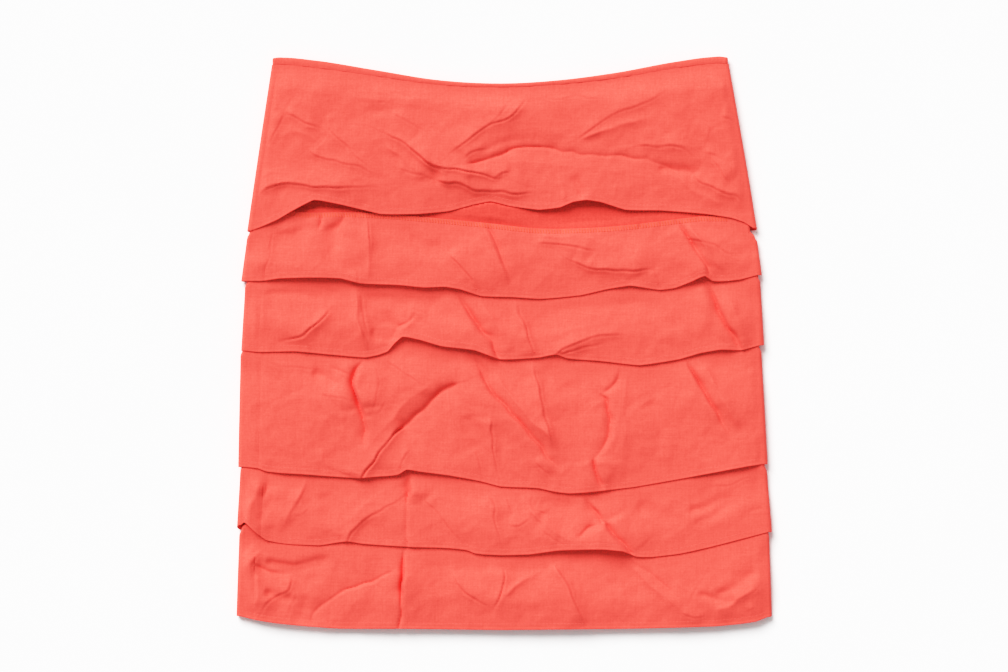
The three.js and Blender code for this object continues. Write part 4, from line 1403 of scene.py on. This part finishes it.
def hem_stitches(index):
    """The rows of stitches of a front and a back hem."""
    first, last = sides(index, TIERS[index]["hem"][0][1])
    x = np.arange(first + 5, last - 5, STITCH + STITCH_GAP)
    up_from_hem = HEM_WIDTH - 0.4

    def on_front(x):
        y = hem_line(TIERS[index], x) + up_from_hem
        return np.stack([x, y, front_height(index, x, y) + 0.04], axis=1)

    def on_back(x):
        y = back_hem(index, x) + up_from_hem
        return np.stack([x, y, back_height(index, x, y) + THREAD_WIDTH / 2 + 0.02], axis=1)

    made = {}
    for side, on in (("front", on_front), ("back", on_back)):
        made[side] = stitches(f"tier_{index + 1}_{side}_hem_stitches", on(x), on(x + STITCH), thread)
    return made


hem_rows = [hem_stitches(i) for i in range(len(TIERS))]
per_stitch = len(SPINDLE) * AROUND
print("stitches in the first hem:", len(hem_rows[0]["front"].data.vertices) // per_stitch)

# %% The second tier's edge
OVERLOCK_WIDTH = 3.4
OVERLOCK_STEP = 2.3
OVERLOCK_THREAD = 0.42
OVERLOCK_ENDS = 186  # how far from the middle it goes, to the left and to the right
SLANT = 0.9
STRAIGHT = 1.45  # the length of a stitch in the straight row
PROUD = 0.2  # how far the thread lies above the cloth


def on_second(x, down):
    y = read(TIERS[1]["seam"], x) - down
    return np.stack([x, y, front_height(1, x, y) + PROUD], axis=1)


x = np.arange(-OVERLOCK_ENDS, OVERLOCK_ENDS, OVERLOCK_STEP)
row = OVERLOCK_WIDTH + 0.3
slanting = (on_second(x, 0.1), on_second(x + SLANT, OVERLOCK_WIDTH))
straight = (on_second(x, row), on_second(x + STRAIGHT, row))
starts, ends = (np.concatenate(pair) for pair in zip(slanting, straight))
overlock = stitches("tier_2_overlock_stitches", starts, ends, orange, OVERLOCK_THREAD)
print(overlock.name, len(overlock.data.polygons), "faces")

# %% [markdown]
# ## What each piece is
#
# Every piece hides the solid of the frame that it stands for and rides on the one body. For each sheet
# of cloth, the size that it is cut to and what it lies on are printed. The sizes are those of the parts
# that are made here, without seam allowances. The binding is too narrow for a sheet of its own, so it
# is listed with the first tier, and stitches with the tier that they are sewn in; nothing reads these lists.

# %% Pieces in place of the frame's
def panel_size(run, side):
    """The flat width and length of a panel, in metres."""
    first, last, radius = run.first.mean(), run.last.mean(), run.radius.mean()
    x = np.linspace(first + 20, last - 20, 40)[None, :]
    y = run.y(x, np.array([[0.0], [1.0]]), side == "back")
    length = np.abs(y[1] - y[0]).mean()
    width = last - first - run.seam_in - radius
    if side == "back":
        width = last - first - 4 * radius + 2 * np.pi * radius + run.seam_in
    return round(float(width) * MM, 3), round(float(length) * MM, 3)


def stand_for(made, node, slot):
    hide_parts(node)
    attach(made, "root")


def declare(made, run, side, node, slot, rests_on, sewn_on=()):
    stand_for(made, node, slot)
    size = panel_size(run, side)
    print(f"{made.name}: {size[0]} by {size[1]} m, on {', '.join(rests_on)}")


for side, made in binding.items():
    stand_for(made, f"waist_binding_{side}", "binding")
for made in (overlock, *(row[side] for row in hem_rows for side in row)):
    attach(made, "root")

sewn_on = [{side: [row[side]] for side in row} for row in hem_rows]
sewn_on[1]["front"].append(overlock)
for side, made in binding.items():
    sewn_on[0][side].append(made)

for i, panels in enumerate(tiers):
    under = f"tier_{i + 1}_back_cloth" if i == LAST else f"tier_{i + 2}_front_cloth"
    rests_on = {"front": ["base_skirt_front_cloth", under], "back": ["table"]}
    for side, made in panels.items():
        node = f"tier_{i + 1}_{side}"
        declare(made, tier_course(i), side, node, "tier_cloth", rests_on[side], sewn_on[i][side])
for side, under in (("front", "base_skirt_back_cloth"), ("back", "tier_1_back_cloth")):
    declare(base[side], base_course(), side, f"base_skirt_{side}", "base_cloth", [under])

# %% [markdown] ## The size, once more  The finished skirt has to fill the same box as the frame.

# %% Finish
visual_low, visual_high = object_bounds()
boxes = {"cad": [list(cad_low), list(cad_high)], "visual": [list(visual_low), list(visual_high)]}
print("visual box, mm:", [round(1000 * (b - a), 1) for a, b in zip(visual_low, visual_high)])
